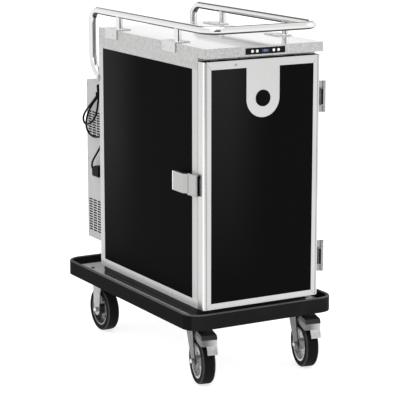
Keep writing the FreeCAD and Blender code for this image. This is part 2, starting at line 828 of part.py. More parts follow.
def brake_pedal(side, spot):
    """A stamped lever with a down-turned tab, under a moulded hood, on a pin through the fork."""
    name = f"Pedal_{side}"
    pivot_y = -size.pedal_pivot_forward
    tip_y = -size.pedal_reach + size.pedal_sheet
    heel_y = pivot_y + size.pedal_pin_diameter
    top_back = pedal_pivot_z + size.pedal_pin_diameter
    top_front = top_back - size.pedal_slope
    low_back = pedal_pivot_z - size.pedal_pin_diameter
    low_front = top_front - size.pedal_front_height
    side_corners = [(heel_y, low_back), (heel_y, top_back), (tip_y, top_front), (tip_y, low_front),
                    (tip_y + size.pedal_front_height, low_front)]
    lever = new_body(name + "Lever")
    profile = outline(lever, name + "Side", "YZ_Plane", side_corners)
    pad(lever, name + "Pad", profile, size.pedal_width, symmetric=True)
    sheet_thickness = size.pedal_sheet
    room_back = heel_y + size.pedal_pin_diameter
    room_floor = low_front - size.pedal_front_height
    room_corners = [(room_back, room_floor), (room_back, top_back - sheet_thickness),
                    (tip_y + sheet_thickness, top_front - sheet_thickness),
                    (tip_y + sheet_thickness, room_floor)]
    room = outline(lever, name + "RoomSide", "YZ_Plane", room_corners)
    pocket(lever, name + "Room", room, size.pedal_width - sheet_thickness * 2, symmetric=True)
    tab_low = low_front - size.pedal_tab_length
    tab_y = tip_y - size.pedal_tab_flare
    tab_corners = [(tip_y, low_front + sheet_thickness), (tip_y, low_front), (tab_y, tab_low),
                   (tab_y + sheet_thickness, tab_low), (tip_y + sheet_thickness, low_front),
                   (tip_y + sheet_thickness, low_front + sheet_thickness)]
    tab = new_body(name + "Tab")
    tab_side = outline(tab, name + "TabSide", "YZ_Plane", tab_corners)
    pad(tab, name + "TabPad", tab_side, size.pedal_tab_width, symmetric=True)
    place(tab, size.pedal_width / 2 - size.pedal_tab_width / 2)
    half_pin = fork_outside / 2
    pin_spot = (pivot_y, pedal_pivot_z)
    pin = cylinder(name + "Pin", size.pedal_pin_diameter / 2, "x", (-half_pin, half_pin), pin_spot)
    stamped = fuse(name + "Stamped", [lever, tab, pin])
    sub_part(f"{side}_brake_lever", place(stamped, *spot, rotation=swivel))
    hood_y = heel_y - size.hood_setback
    hood_z = top_back - size.pedal_slope * (size.hood_setback.value / (heel_y - tip_y).value)
    hood_corners = [(hood_y, hood_z), (tip_y, top_front),
                    (tip_y, top_front + size.hood_height, size.hood_front_round),
                    (hood_y, hood_z + size.hood_height, size.hood_back_round)]
    hood = new_body(name + "Hood")
    hood_side = outline(hood, name + "HoodSide", "YZ_Plane", hood_corners)
    pad(hood, name + "HoodPad", hood_side, size.hood_width, symmetric=True)
    sub_part(f"{side}_brake_hood", place(hood, *spot, rotation=swivel))


def swivel_caster(side):
    x, y = caster_spots[side]
    caster_plate(side, (x, y))
    swivel_fork(side, (x, y))
    bolt = place(axle(f"Axle_{side}", 0, -size.caster_trail), x, y, rotation=swivel)
    sub_part(f"{side}_caster_axle", bolt)
    trail = Vector(0, -size.caster_trail.value, 0)
    turned = swivel.multVec(trail)
    ratio_x = turned.x / size.caster_trail.value
    ratio_y = turned.y / size.caster_trail.value
    wheel(side, (x + size.caster_trail * ratio_x, y + size.caster_trail * ratio_y), swivel)
    brake_pedal(side, (x, y))


def fixed_caster(side):
    """A rear caster: legs straight down from a bolted plate."""
    name = f"Fork_{side}"
    x, y = caster_spots[side]
    half = size.rear_leg_half
    top = size.rear_leg_top_half
    curve = half - size.round_flat / 2
    corners = [(top, plate_under), (-top, plate_under), (-half, axle_z), (-half, axle_z - half, curve),
               (half, axle_z - half, curve), (half, axle_z)]
    body, last = fork_body(name, corners, plate_under - size.crown_thickness, 0)
    place(body, x, y)
    half_x = size.caster_plate_width / 2
    half_y = size.caster_plate_length / 2
    plate = box(name + "Plate", (x - half_x, x + half_x), (y - half_y, y + half_y), (plate_under, base_under))
    holes = bolt_holes(name + "Hole", (x, y), plate_under, base_under)
    sub_part(f"{side}_caster_fork", fuse(name + "Welded", [body, cut(name + "Drilled", plate, *holes)]))
    wheel(side, (x, y), Rotation())


def rear_axles():
    axles = [axle(f"Axle_{side}", *caster_spots[side]) for side in ("rear_left", "rear_right")]
    sub_part("rear_axles", group("RearAxles", axles))


# Cabinet: insulation, casing, side panels, liner and top cover
def insulation():
    outer_x = cabinet_x - size.casing_sheet
    inner_x = inside_x + size.liner_sheet
    front = cabinet_front + size.casing_sheet
    back = cabinet_back - size.casing_sheet
    rear = inside_back + size.liner_sheet
    full = (cabinet_bottom, cabinet_top)
    across = (-inner_x, inner_x)
    slabs = [
        box("FoamLeft", (-outer_x, -inner_x), (front, back), full),
        box("FoamRight", (inner_x, outer_x), (front, back), full),
        box("FoamRear", across, (rear, back), full),
        box("FoamBottom", across, (front, rear), (cabinet_bottom, inside_bottom - size.liner_sheet)),
        box("FoamTop", across, (front, rear), (inside_top + size.liner_sheet, cabinet_top)),
    ]
    sub_part("insulation_panels", group("InsulationPanels", slabs))


panel_ys = (cabinet_front + size.front_stile, cabinet_back - size.rear_stile)
panel_zs = (cabinet_bottom + size.bottom_rail, cabinet_top)


def outer_casing():
    """The sheet wrapped round the cabinet, with windows for the side panels and the door opening."""
    wrap = ring_box("CasingWrap", cabinet_x, cabinet_front, cabinet_back, size.casing_sheet,
                    (cabinet_bottom, cabinet_top))
    windows = box("CasingWindows", (-cabinet_x, cabinet_x), panel_ys, panel_zs)
    opening = box("CasingOpening", (-inside_x, inside_x),
                  (cabinet_front, cabinet_front + size.casing_sheet), (inside_bottom, inside_top))
    sub_part("outer_casing", cut("OuterCasing", wrap, windows, opening))


def side_panels():
    inner = cabinet_x - size.casing_sheet
    outer = inner + size.panel_sheet
    panels = [box("PanelLeft", (-outer, -inner), panel_ys, panel_zs),
              box("PanelRight", (inner, outer), panel_ys, panel_zs)]
    sub_part("side_panels", group("SidePanels", panels))


def inner_liner():
    sheet_thickness = size.liner_sheet
    outer_x = inside_x + sheet_thickness
    front = cabinet_front + size.casing_sheet
    outer = box("LinerOuter", (-outer_x, outer_x), (front, inside_back + sheet_thickness),
                (inside_bottom - sheet_thickness, inside_top + sheet_thickness))
    room = box("LinerRoom", (-inside_x, inside_x), (front, inside_back), (inside_bottom, inside_top))
    sub_part("inner_liner", cut("InnerLiner", outer, room))


panel_middle = header_bottom + size.header_height / 2
panel_inner_x = size.panel_width / 2 - size.panel_lip
panel_inner_z = size.panel_height / 2 - size.panel_lip


def top_cover():
    """The sheet lid, with a header that overhangs the door and carries the control panel."""
    body = new_body("TopCover")
    corners = [(header_front, header_bottom), (cabinet_front, header_bottom), (cabinet_front, cabinet_top),
               (cabinet_back, cabinet_top), (cabinet_back, cover_top), (header_front, cover_top)]
    profile = outline(body, "CoverSide", "YZ_Plane", corners)
    pad(body, "CoverPad", profile, size.cabinet_width, symmetric=True)
    t = size.cover_sheet
    below = cabinet_top - size.cover_sheet
    room = [(header_front + t, header_bottom + t), (cabinet_front + t, header_bottom + t),
            (cabinet_front + t, below), (cabinet_back - t, below), (cabinet_back - t, cover_top - t),
            (header_front + t, cover_top - t)]
    inside = outline(body, "CoverRoomSide", "YZ_Plane", room)
    pocket(body, "CoverRoom", inside, size.cabinet_width - size.cover_sheet * 2, symmetric=True)
    slot = box("CoverSlot", (-panel_inner_x, panel_inner_x), (header_front, header_front + t),
               (panel_middle - panel_inner_z, panel_middle + panel_inner_z))
    sub_part("top_cover", cut("TopCoverCut", body, slot))


def tray_runners():
    """Pairs of angle runners for tray inserts, fixed to the liner's side walls."""
    ys = (cabinet_front + size.runner_setback, evaporator_front)
    inner = inside_x - size.runner_sheet
    tip = inner - size.runner_ledge
    runners = []
    for level in range(RUNNER_LEVELS):
        low = inside_bottom + size.runner_first + size.runner_pitch * level
        for side, sign in (("Left", -1), ("Right", 1)):
            name = f"Runner{side}{level}"
            wall_xs = sorted((inner * sign, inside_x * sign), key=lambda x: x.value)
            ledge_xs = sorted((tip * sign, inner * sign), key=lambda x: x.value)
            wall = box(name + "Wall", wall_xs, ys, (low, low + size.runner_height))
            ledge = box(name + "Ledge", ledge_xs, ys, (low, low + size.runner_sheet))
            runners.append(fuse(name, [wall, ledge]))
    sub_part("tray_runners", group("TrayRunners", runners))


# Fans and heat exchangers
def fan(name, diameter, spot):
    """A hub with pitched blades, turning about the local Y axis."""
    x, y, z = spot
    half = size.fan_hub_length / 2
    hub_radius = size.fan_hub_diameter / 2
    hub = cylinder(name + "Hub", hub_radius, "y", (-half, half), (0, 0))
    pieces = [hub]
    reach = diameter / 2
    for index in range(FAN_BLADES):
        blade = doc.addObject("Part::Box", f"{name}Blade{index}")
        bind(blade, "Length", size.fan_blade_width)
        bind(blade, "Width", size.fan_blade_sheet)
        bind(blade, "Height", reach - size.fan_blade_root)
        spin = Rotation(Vector(0, 1, 0), 360 * index / FAN_BLADES)
        pitch = Rotation(Vector(0, 0, 1), size.fan_blade_pitch.value)
        turn = spin.multiply(pitch)
        corner = [-size.fan_blade_width / 2, -size.fan_blade_sheet / 2, size.fan_blade_root]
        axes = [turn.multVec(axis) for axis in (Vector(1, 0, 0), Vector(0, 1, 0), Vector(0, 0, 1))]
        base = [corner[0] * axes[0][k] + corner[1] * axes[1][k] + corner[2] * axes[2][k] for k in range(3)]
        place(blade, *base, rotation=turn)
        pieces.append(blade)
    bore = size.shaft_diameter / 2 + size.running_clearance
    hole = cylinder(name + "Bore", bore, "y", (-size.fan_hub_length, size.fan_hub_length), (0, 0))
    return place(cut(name, fuse(name + "Blades", pieces), hole), x, y, z)


def finned_block(name, xs, ys, zs, fin):
    """A heat exchanger: upright fins on tubes, between two end plates."""
    width = xs[1] - xs[0]
    pitch = (width - fin) / (COIL_FINS - 1)
    pieces = [box(f"{name}Fin{index}", (xs[0] + pitch * index, xs[0] + pitch * index + fin), ys, zs)
              for index in range(COIL_FINS)]
    middle_y = (ys[0] + ys[1]) / 2
    step = (zs[1] - zs[0]) / (COIL_TUBES + 1)
    for index in range(COIL_TUBES):
        spot = (middle_y, zs[0] + step * (index + 1))
        pieces.append(cylinder(f"{name}Tube{index}", size.tube_diameter / 2, "x", xs, spot))
    return fuse(name, pieces)


evaporator_top = inside_top - size.evaporator_top_gap
evaporator_bottom = evaporator_top - size.evaporator_height
evaporator_front = inside_back - size.evaporator_depth
evaporator_middle = (evaporator_top + evaporator_bottom) / 2
evaporator_fan_y = evaporator_front + size.fan_hub_length


def evaporator():
    """The coil, its fan and a sheet cover on the liner's rear wall."""
    half = inside_x - size.evaporator_side_gap
    t = size.evaporator_sheet
    ys = (evaporator_front, inside_back)
    zs = (evaporator_bottom, evaporator_top)
    outer = box("EvaporatorOuter", (-half, half), ys, zs)
    room = box("EvaporatorRoom", (t - half, half - t), (evaporator_front + t, inside_back),
               (evaporator_bottom + t, evaporator_top - t))
    mouth = cylinder("EvaporatorMouth", size.small_fan_diameter / 2, "y",
                     (evaporator_front, evaporator_front + t), (0, evaporator_middle))
    shell = cut("EvaporatorShell", outer, room, mouth)
    motor_front = evaporator_fan_y + size.fan_hub_length / 2 + size.race_gap
    spot = (0, evaporator_middle)
    motor = cylinder("EvaporatorMotorCan", size.motor_diameter / 2, "y", (motor_front, inside_back), spot)
    shaft = cylinder("EvaporatorShaft", size.shaft_diameter / 2, "y", (evaporator_front, inside_back), spot)
    drive = fuse("EvaporatorMotor", [motor, shaft])
    sub_part("evaporator_cover", group("EvaporatorCover", [shell, drive]))
    coil_xs = (t - half, -size.small_fan_diameter / 2 - t)
    coil_ys = (inside_back - size.coil_depth, inside_back)
    coil_zs = (evaporator_middle - size.coil_height / 2, evaporator_middle + size.coil_height / 2)
    left = finned_block("CoilLeft", coil_xs, coil_ys, coil_zs, size.coil_fin)
    right_xs = (-coil_xs[1], -coil_xs[0])
    right = finned_block("CoilRight", right_xs, coil_ys, coil_zs, size.coil_fin)
    sub_part("evaporator_coil", group("EvaporatorCoil", [left, right]))
    blades = fan("EvaporatorFan", size.small_fan_diameter - size.fan_tip_gap * 2,
                 (0, evaporator_fan_y, evaporator_middle))
    sub_part("evaporator_fan", blades)


# Door
window_x = cabinet_x - size.door_stile
window_bottom = door_bottom + size.door_bottom_rail
window_top = door_top - size.door_top_rail
tongue_x = size.tongue_width / 2
tongue_bottom = window_top - size.tongue_length
face_depth = size.casing_sheet


def door_slab(name, half_x, front, zs):
    """An upright slab with its two front edges rounded, seen in plan."""
    body = new_body(name)
    corners = [(-half_x, door_back), (-half_x, front, size.door_edge_radius),
               (half_x, front, size.door_edge_radius), (half_x, door_back)]
    pad(body, name + "Pad", outline(body, name + "Plan", "XY_Plane", corners, zs[0]), zs[1] - zs[0])
    return body


def window_plate(name, front, back):
    """A plate in the shape of the door's dark panel, which leaves the tongue free."""
    body = new_body(name)
    curve = tongue_x - size.round_flat / 2
    corners = [(-window_x, window_bottom), (window_x, window_bottom), (window_x, window_top),
               (tongue_x, window_top), (tongue_x, tongue_bottom, curve), (-tongue_x, tongue_bottom, curve),
               (-tongue_x, window_top), (-window_x, window_top)]
    sketch = outline(body, name + "Front", "XZ_Plane", corners, -as_length(back))
    pad(body, name + "Pad", sketch, back - front)
    return body


def door():
    edge = size.door_edge_sheet
    core_front = door_front + face_depth
    shell = door_slab("DoorShell", cabinet_x, door_front, (door_bottom, door_top))
    core_zs = (door_bottom + edge, door_top - edge)
    room = door_slab("DoorRoom", cabinet_x - edge, core_front, core_zs)
    window = window_plate("DoorWindow", door_front, core_front)
    sub_part("door_pan", cut("DoorPan", cut("DoorHollow", shell, room), window))
    sub_part("door_core", door_slab("DoorCore", cabinet_x - edge, core_front, core_zs))
    sub_part("door_panel", window_plate("DoorPanel", core_front - size.panel_sheet, core_front))
    disc_z = tongue_bottom + tongue_x
    disc = cylinder("Disc", size.disc_diameter / 2, "y", (door_front - size.disc_height, door_front),
                    (0, disc_z))
    sub_part("door_disc", disc)
    outer_x = cabinet_x - size.gasket_inset
    inner_x = outer_x - size.gasket_width
    low = cabinet_bottom + size.gasket_inset
    high = cabinet_top - size.gasket_inset
    ys = (door_back, cabinet_front - size.gasket_gap)
    outer = box("GasketOuter", (-outer_x, outer_x), ys, (low, high))
    inner = box("GasketInner", (-inner_x, inner_x), ys, (low + size.gasket_width, high - size.gasket_width))
    sub_part("door_gasket", cut("DoorGasket", outer, inner))


# Latch on the left
latch_z = cabinet_bottom + size.latch_height
latch_front = cabinet_front - size.latch_overhang
latch_face = cabinet_x + size.latch_base + size.latch_gap
latch_pin_x = -(latch_face + size.latch_hub / 2)
latch_pin_y = latch_front + size.latch_hub / 2


def latch():
    """A cast body on the cabinet's side, a paddle lever that reaches over the door and its keeper."""
    half = size.latch_body_height / 2
    back = latch_front + size.latch_body_length
    cheek_out = latch_face + size.latch_hub
    base_out = cabinet_x + size.latch_base
    base = box("LatchBase", (-base_out, -cabinet_x), (cabinet_front + size.latch_setback, back),
               (latch_z - half, latch_z + half))
    pieces = [base]
    cheeks = {"Top": (latch_z + half - size.latch_cheek, latch_z + half),
              "Bottom": (latch_z - half, latch_z - half + size.latch_cheek)}
    for name, zs in cheeks.items():
        pieces.append(box("LatchCheek" + name, (-cheek_out, -base_out), (latch_front, back), zs))
    pin_spot = (latch_pin_x, latch_pin_y)
    pin = cylinder("LatchPin", size.latch_pin_diameter / 2, "z", (latch_z - half, latch_z + half), pin_spot)
    sub_part("latch_body", fuse("LatchBody", pieces + [pin]))
    lever = new_body("LatchLever")
    inner = -latch_face
    outer = -cheek_out
    step = size.paddle_offset
    tip = back + size.paddle_length
    nose = size.latch_hub / 2 - size.round_flat / 2
    corners = [(inner, latch_front, nose), (inner, back, size.paddle_round),
               (inner - step, back + step, size.paddle_round), (inner - step, tip, size.paddle_round),
               (outer - step, tip, size.paddle_round), (outer - step, back + step, size.paddle_round),
               (outer, back, size.paddle_round), (outer, latch_front, nose)]
    low = latch_z - half + size.latch_cheek + size.latch_gap
    height = size.latch_body_height - size.latch_cheek * 2 - size.latch_gap * 2
    pad(lever, "LatchLeverPad", outline(lever, "LatchLeverPlan", "XY_Plane", corners, low), height)
    bore = size.latch_pin_diameter / 2 + size.running_clearance
    hole = circle_sketch(lever, "LatchBore", "XY_Plane", pin_spot, bore, latch_z * 2)
    pocket(lever, "LatchBorePocket", hole)
    shape = new_body("PaddleShape")
    high = low + height
    shape_corners = [(latch_front, low), (tip, low, size.paddle_corner), (tip, high, size.paddle_corner),
                     (latch_front, high)]
    shape_side = outline(shape, "PaddleSide", "YZ_Plane", shape_corners)
    pad(shape, "PaddlePad", shape_side, (cheek_out + step) * 2, symmetric=True)
    sub_part("latch_lever", common("LatchPaddle", [lever, shape]))
    keeper_back = door_back - size.keeper_setback
    keeper_half = size.keeper_height / 2
    keeper = box("KeeperPlate", (-(cabinet_x + size.keeper_sheet), -cabinet_x),
                 (keeper_back - size.keeper_length, keeper_back),
                 (latch_z - keeper_half, latch_z + keeper_half))
    slot_back = keeper_back - size.keeper_rim
    slot_half = size.keeper_slot_height / 2
    slot = box("KeeperSlot", (-(cabinet_x + size.keeper_sheet), -cabinet_x),
               (slot_back - size.keeper_slot_width, slot_back), (latch_z - slot_half, latch_z + slot_half))
    sub_part("latch_keeper", cut("LatchKeeper", keeper, slot))


# Hinges on the right
hinge_x = cabinet_x + size.hinge_out
hinge_y = door_front + size.hinge_back


def hinges():
    """Two hinges: door arms above and below a fixed knuckle, round an upright pin."""
    barrel = size.hinge_barrel_diameter / 2
    pin = size.hinge_pin_diameter / 2
    spot = (hinge_x, hinge_y)
    arms, brackets, pins = [], [], []
    for index, low in enumerate((cabinet_bottom + size.hinge_lower - size.hinge_height / 2,
                                 cabinet_bottom + size.hinge_upper - size.hinge_height / 2)):
        high = low + size.hinge_height
        levels = {"Low": (low, low + size.hinge_arm_height), "High": (high - size.hinge_arm_height, high)}
        for level, zs in levels.items():
            name = f"HingeArm{level}{index}"
            web = box(name + "Web", (cabinet_x, hinge_x), (hinge_y, hinge_y + barrel), zs)
            leaf = box(name + "Leaf", (cabinet_x, cabinet_x + size.hinge_leaf),
                       (hinge_y, door_back - size.hinge_leaf), zs)
            knuckle = cylinder(name + "Knuckle", barrel, "z", zs, spot)
            bore = cylinder(name + "Bore", pin + size.running_clearance, "z", zs, spot)
            arms.append(cut(name, fuse(name + "Bent", [web, leaf, knuckle]), bore))
        arm = size.hinge_arm_height + size.hinge_end_gap
        zs = (low + arm, high - arm)
        name = f"HingeBracket{index}"
        neck_in = cabinet_x + size.hinge_door_gap
        neck_out = neck_in + size.hinge_leaf
        leaf_ys = (cabinet_front, cabinet_front + size.hinge_leaf_length)
        pieces = [
            box(name + "Web", (neck_in, hinge_x), (hinge_y - barrel, hinge_y + barrel), zs),
            box(name + "Neck", (neck_in, neck_out), (hinge_y, cabinet_front), zs),
            box(name + "Leaf", (cabinet_x, neck_out), leaf_ys, zs),
            cylinder(name + "Knuckle", barrel, "z", zs, spot),
        ]
        gap = box(name + "Gap", (cabinet_x, neck_out), (hinge_y - barrel, hinge_y), zs)
        bore = cylinder(name + "Bore", pin, "z", zs, spot)
        brackets.append(cut(name, cut(name + "Bent", fuse(name + "Solid", pieces), gap), bore))
        pins.append(cylinder(f"HingePin{index}", pin, "z", (low, high), spot))
    sub_part("hinge_arms", group("HingeArms", arms))
    sub_part("hinge_brackets", group("HingeBrackets", brackets))
    sub_part("hinge_pins", group("HingePins", pins))


# Guard rail
rail_x = cabinet_x - size.rail_inset


def bent_path(points, radii):
    """A wire of straight runs joined by tangent arcs at its inner points."""
    edges = []
    start = points[0]
    for before, corner, after, radius in zip(points, points[1:], points[2:], radii):
        stop, leave, centre, _ = round_corner(before, corner, after, radius)
        middle = centre + (corner - centre).normalize() * radius
        if (stop - start).Length > TOUCH:
            edges.append(Part.LineSegment(start, stop).toShape())
        edges.append(Part.Arc(stop, middle, leave).toShape())
        start = leave
    edges.append(Part.LineSegment(start, points[-1]).toShape())
    return Part.Wire(edges)


def rail_path():
    handle_y = cabinet_back + size.handle_standoff
    front_y = header_front + size.rail_front_setback
    left = [(-rail_x, cabinet_back, handle_z), (-rail_x, handle_y, handle_z), (-rail_x, handle_y, rail_z),
            (-rail_x, front_y, rail_z)]
    right = [(-x, y, z) for x, y, z in reversed(left)]
    points = [Vector(x.value, y.value, z.value) for x, y, z in left + right]
    bends = [size.handle_bend.value, size.rail_rear_bend.value, size.rail_front_bend.value]
    path = doc.addObject("Part::Feature", "RailPath")
    path.Shape = bent_path(points, bends + bends[::-1])
    return path


def rail_tube(name, path, radius):
    ring = doc.addObject("Part::Circle", name + "Section")
    bind(ring, "Radius", radius)
    place(ring, -rail_x, cabinet_back, handle_z, rotation=ALONG["y"])
    tube = doc.addObject("Part::Sweep", name)
    tube.Sections = [ring]
    tube.Spine = (path, [f"Edge{index + 1}" for index in range(len(path.Shape.Edges))])
    tube.Solid = True
    tube.Frenet = False
    return tube


def guard_rail():
    path = rail_path()
    outer = rail_tube("RailOuter", path, size.rail_diameter / 2)
    inner = rail_tube("RailInner", path, size.rail_diameter / 2 - size.rail_wall)
    sub_part("guard_rail", cut("GuardRail", outer, inner))


def rail_posts():
    """Four posts under the rail, each welded to an angle bracket over the cover's edge."""
    t = size.bracket_sheet
    posts = []
    for column, y in enumerate((cabinet_front + size.post_front, cabinet_back - size.post_rear)):
        for side, sign in (("Left", -1), ("Right", 1)):
            name = f"Post{side}{column}"
            x = rail_x * sign
            outer = (cabinet_x + t) * sign
            edge = cabinet_x * sign
            inner = (cabinet_x - size.bracket_top) * sign
            top_xs = sorted((inner, outer), key=lambda spot: spot.value)
            side_xs = sorted((edge, outer), key=lambda spot: spot.value)
            ys = (y - size.bracket_ahead, y + size.bracket_back)
            pieces = [
                cylinder(name + "Tube", size.post_diameter / 2, "z", (cover_top + t, rail_z), (x, y)),
                box(name + "Top", top_xs, ys, (cover_top, cover_top + t)),
                box(name + "Side", side_xs, ys, (cover_top - size.bracket_side, cover_top + t)),
            ]
            saddle = cylinder(name + "Saddle", size.rail_diameter / 2, "y",
                              (y - size.post_diameter, y + size.post_diameter), (x, rail_z))
            posts.append(cut(name, fuse(name + "Welded", pieces), saddle))
    sub_part("rail_posts", group("RailPosts", posts))


# Control panel in the header
def control_panel():
    half_x = size.panel_width / 2
    half_z = size.panel_height / 2
    front = header_front - size.panel_proud
    bezel = box("PanelBezel", (-half_x, half_x), (front, header_front),
                (panel_middle - half_z, panel_middle + half_z))
    module_ys = (header_front, header_front + size.panel_depth)
    module = box("PanelModule", (-panel_inner_x, panel_inner_x), module_ys,
                 (panel_middle - panel_inner_z, panel_middle + panel_inner_z))
    hole = size.button_diameter / 2 + size.button_gap
    button_front = front - size.button_proud
    button_back = button_front + size.button_length
    spots = {"one": -size.button_outer, "two": -size.button_inner,
             "three": size.button_inner, "four": size.button_outer}
    tools = []
    for word, x in spots.items():
        name = f"Button_{word}"
        spot = (x, panel_middle)
        depth = (front, button_back + size.button_travel_room)
        tools.append(cylinder(name + "Hole", hole, "y", depth, spot))
        button = cylinder(name, size.button_diameter / 2, "y", (button_front, button_back), spot)
        sub_part(f"button_{word}", button)
    half_w = size.display_width / 2
    half_h = size.display_height / 2
    tools.append(box("DisplayRecess", (-half_w, half_w), (front, front + size.display_recess),
                     (panel_middle - half_h, panel_middle + half_h)))
    sub_part("control_panel", cut("ControlPanel", fuse("PanelBlock", [bezel, module]), *tools))


# Cooling unit on the back
def unit_housing():
    """A sheet housing with rows of slits in its sides and its back."""
    t = size.unit_sheet
    outer = box("UnitOuter", (-unit_x, unit_x), (cabinet_back, unit_back), (unit_bottom, unit_top))
    room = box("UnitRoom", (t - unit_x, unit_x - t), (cabinet_back, unit_back - t),
               (unit_bottom + t, unit_top - t))
    slits = []
    blocks = (("Lower", size.lower_slits_rise, LOWER_SLIT_ROWS),
              ("Upper", size.upper_slits_rise, UPPER_SLIT_ROWS))
    for block, rise, rows in blocks:
        for column in range(SLIT_COLUMNS):
            middle = unit_back - size.slit_back_margin - size.slit_column_pitch * column
            ys = (middle - size.slit_length / 2, middle + size.slit_length / 2)
            for row_index in range(rows):
                low = unit_bottom + rise + size.slit_pitch * row_index
                slits.append(box(f"Slit{block}{column}_{row_index}", (-unit_x, unit_x), ys,
                                 (low, low + size.slit_height)))
    for column in range(REAR_SLIT_COLUMNS):
        middle = size.rear_slit_pitch * (column - (REAR_SLIT_COLUMNS - 1) / 2)
        xs = (middle - size.rear_slit_length / 2, middle + size.rear_slit_length / 2)
        for row_index in range(REAR_SLIT_ROWS):
            low = unit_bottom + size.lower_slits_rise + size.slit_pitch * row_index
            slits.append(box(f"SlitRear{column}_{row_index}", xs, (unit_back - t, unit_back),
                             (low, low + size.slit_height)))
    shell = cut("UnitShell", outer, room)
    sub_part("unit_housing", cut("UnitHousing", shell, *slits))


unit_floor = unit_bottom + size.unit_sheet
unit_middle_y = (cabinet_back + unit_back) / 2


def compressor():
    """A hermetic compressor: a domed can on a foot plate."""
    radius = size.compressor_diameter / 2
    foot_top = unit_floor + size.compressor_foot
    x = -size.compressor_offset
    foot = box("CompressorFoot", (x - radius, x + radius), (unit_middle_y - radius, unit_middle_y + radius),
               (unit_floor, foot_top))
    can = new_body("CompressorCan")
    height = size.compressor_height
    base_radius = size.compressor_base_diameter / 2
    top_radius = size.compressor_top_diameter / 2
    section = [(0, 0), (base_radius, 0, size.compressor_base_round), (radius, height / 2),
               (top_radius, height, size.compressor_dome_round), (0, height)]
    revolve(can, "CompressorTurned", outline(can, "CompressorProfile", "XZ_Plane", section), "Z_Axis")
    place(can, x, unit_middle_y, foot_top)
    sub_part("compressor", fuse("Compressor", [foot, can]))


condenser_x = size.compressor_offset
condenser_front = cabinet_back + size.condenser_setback
condenser_middle = unit_floor + size.condenser_height / 2
condenser_fan_y = condenser_front + size.condenser_depth + size.fan_hub_length


def condenser():
    """The condenser block with a fan motor on a strap across its back."""
    half = size.condenser_width / 2
    xs = (condenser_x - half, condenser_x + half)
    ys = (condenser_front, condenser_front + size.condenser_depth)
    block = finned_block("CondenserFins", xs, ys, (unit_floor, unit_floor + size.condenser_height),
                         size.condenser_fin)
    spot = (condenser_x, condenser_middle)
    motor_back = condenser_fan_y - size.fan_hub_length / 2 - size.race_gap
    motor = cylinder("CondenserMotor", size.motor_diameter / 2, "y", (condenser_front, motor_back), spot)
    shaft_end = condenser_fan_y + size.fan_hub_length / 2
    shaft = cylinder("CondenserShaft", size.shaft_diameter / 2, "y", (condenser_front, shaft_end), spot)
    sub_part("condenser", fuse("Condenser", [block, motor, shaft]))
    blades = fan("CondenserFan", size.large_fan_diameter, (condenser_x, condenser_fan_y, condenser_middle))
    sub_part("condenser_fan", blades)


# Power cord on its hook
cord_points = [(-(unit_x + out), cabinet_back + behind, unit_top - below) for out, behind, below in CORD_ROUTE]


def least_gap(points, diameter, reach):
    """The least gap of a tube to itself, between points that lie apart along it."""
    best = float("inf")
    for first, point in enumerate(points):
        for other in points[first + reach:]:
            best = min(best, point.distanceToPoint(other) - diameter)
    return best


def power_cord():
    diameter = size.cord_diameter.value
    points = [Vector(x.value, y.value, z.value) for x, y, z in cord_points]
    radii = []
    for before, corner, after in zip(points, points[1:], points[2:]):
        turn = (corner - before).getAngle(after - corner)
        shorter = min((corner - before).Length, (after - corner).Length)
        radii.append(BEND_SHARE * shorter / math.tan(turn / 2))
    path = bent_path(points, radii)
    ring = Part.Wire(Part.Circle(points[0], points[1] - points[0], diameter / 2).toShape())
    tube = path.makePipeShell([ring], True, False)
    samples = path.discretize(Distance=diameter / SAMPLES_PER_DIAMETER)
    apart = int(DIAMETERS_APART * SAMPLES_PER_DIAMETER)
    expected = math.pi * diameter ** 2 / 4 * path.Length
    print("cord length", round(path.Length, 1), "volume ratio", round(tube.Volume / expected, 4))
    print("cord gap to itself", round(least_gap(samples, diameter, apart), 2))
    cord = doc.addObject("Part::Feature", "PowerCord")
    cord.Shape = tube
    sub_part("power_cord", cord)


def power_plug():
    """The moulded plug on the cord's free end, with its grip towards the cord."""
    x, y, z = cord_points[-1]
    low = z - size.plug_grip_low
    high = low + size.plug_height
    grip_top = z + size.plug_grip_high
    front = y - size.plug_length
    shoulder = y - size.plug_grip
    corners = [(front, low, size.plug_round), (y, low, size.plug_round), (y, grip_top, size.plug_round),
               (shoulder, high, size.plug_round), (front, high, size.plug_round)]
    body = new_body("PlugBody")
    pad(body, "PlugPad", outline(body, "PlugSide", "YZ_Plane", corners), size.plug_width, symmetric=True)
    place(body, x)
    pin_z = low + size.plug_height / 2
    pins = [cylinder(f"PlugPin{index}", size.plug_pin_diameter / 2, "y",
                     (front - size.plug_pin_length, front), (x + size.plug_pin_spacing * side, pin_z))
            for index, side in enumerate((-0.5, 0.5))]
    sub_part("power_plug", fuse("PowerPlug", [body] + pins))


def cord_gland():
    """An elbow on the unit's side, with a tapered strain relief that points down."""
    x, y, z = cord_points[0]
    elbow_z = z + size.gland_length
    radius = size.gland_diameter / 2
    arm = cylinder("GlandArm", radius, "x", (x, -unit_x), (y, elbow_z))
    elbow = doc.addObject("Part::Sphere", "GlandElbow")
    bind(elbow, "Radius", radius)
    place(elbow, x, y, elbow_z)
    relief = doc.addObject("Part::Cone", "GlandRelief")
    bind(relief, "Radius1", size.gland_end_diameter / 2)
    bind(relief, "Radius2", radius)
    bind(relief, "Height", size.gland_length)
    place(relief, x, y, z)
    sub_part("cord_gland", fuse("CordGland", [arm, elbow, relief]))


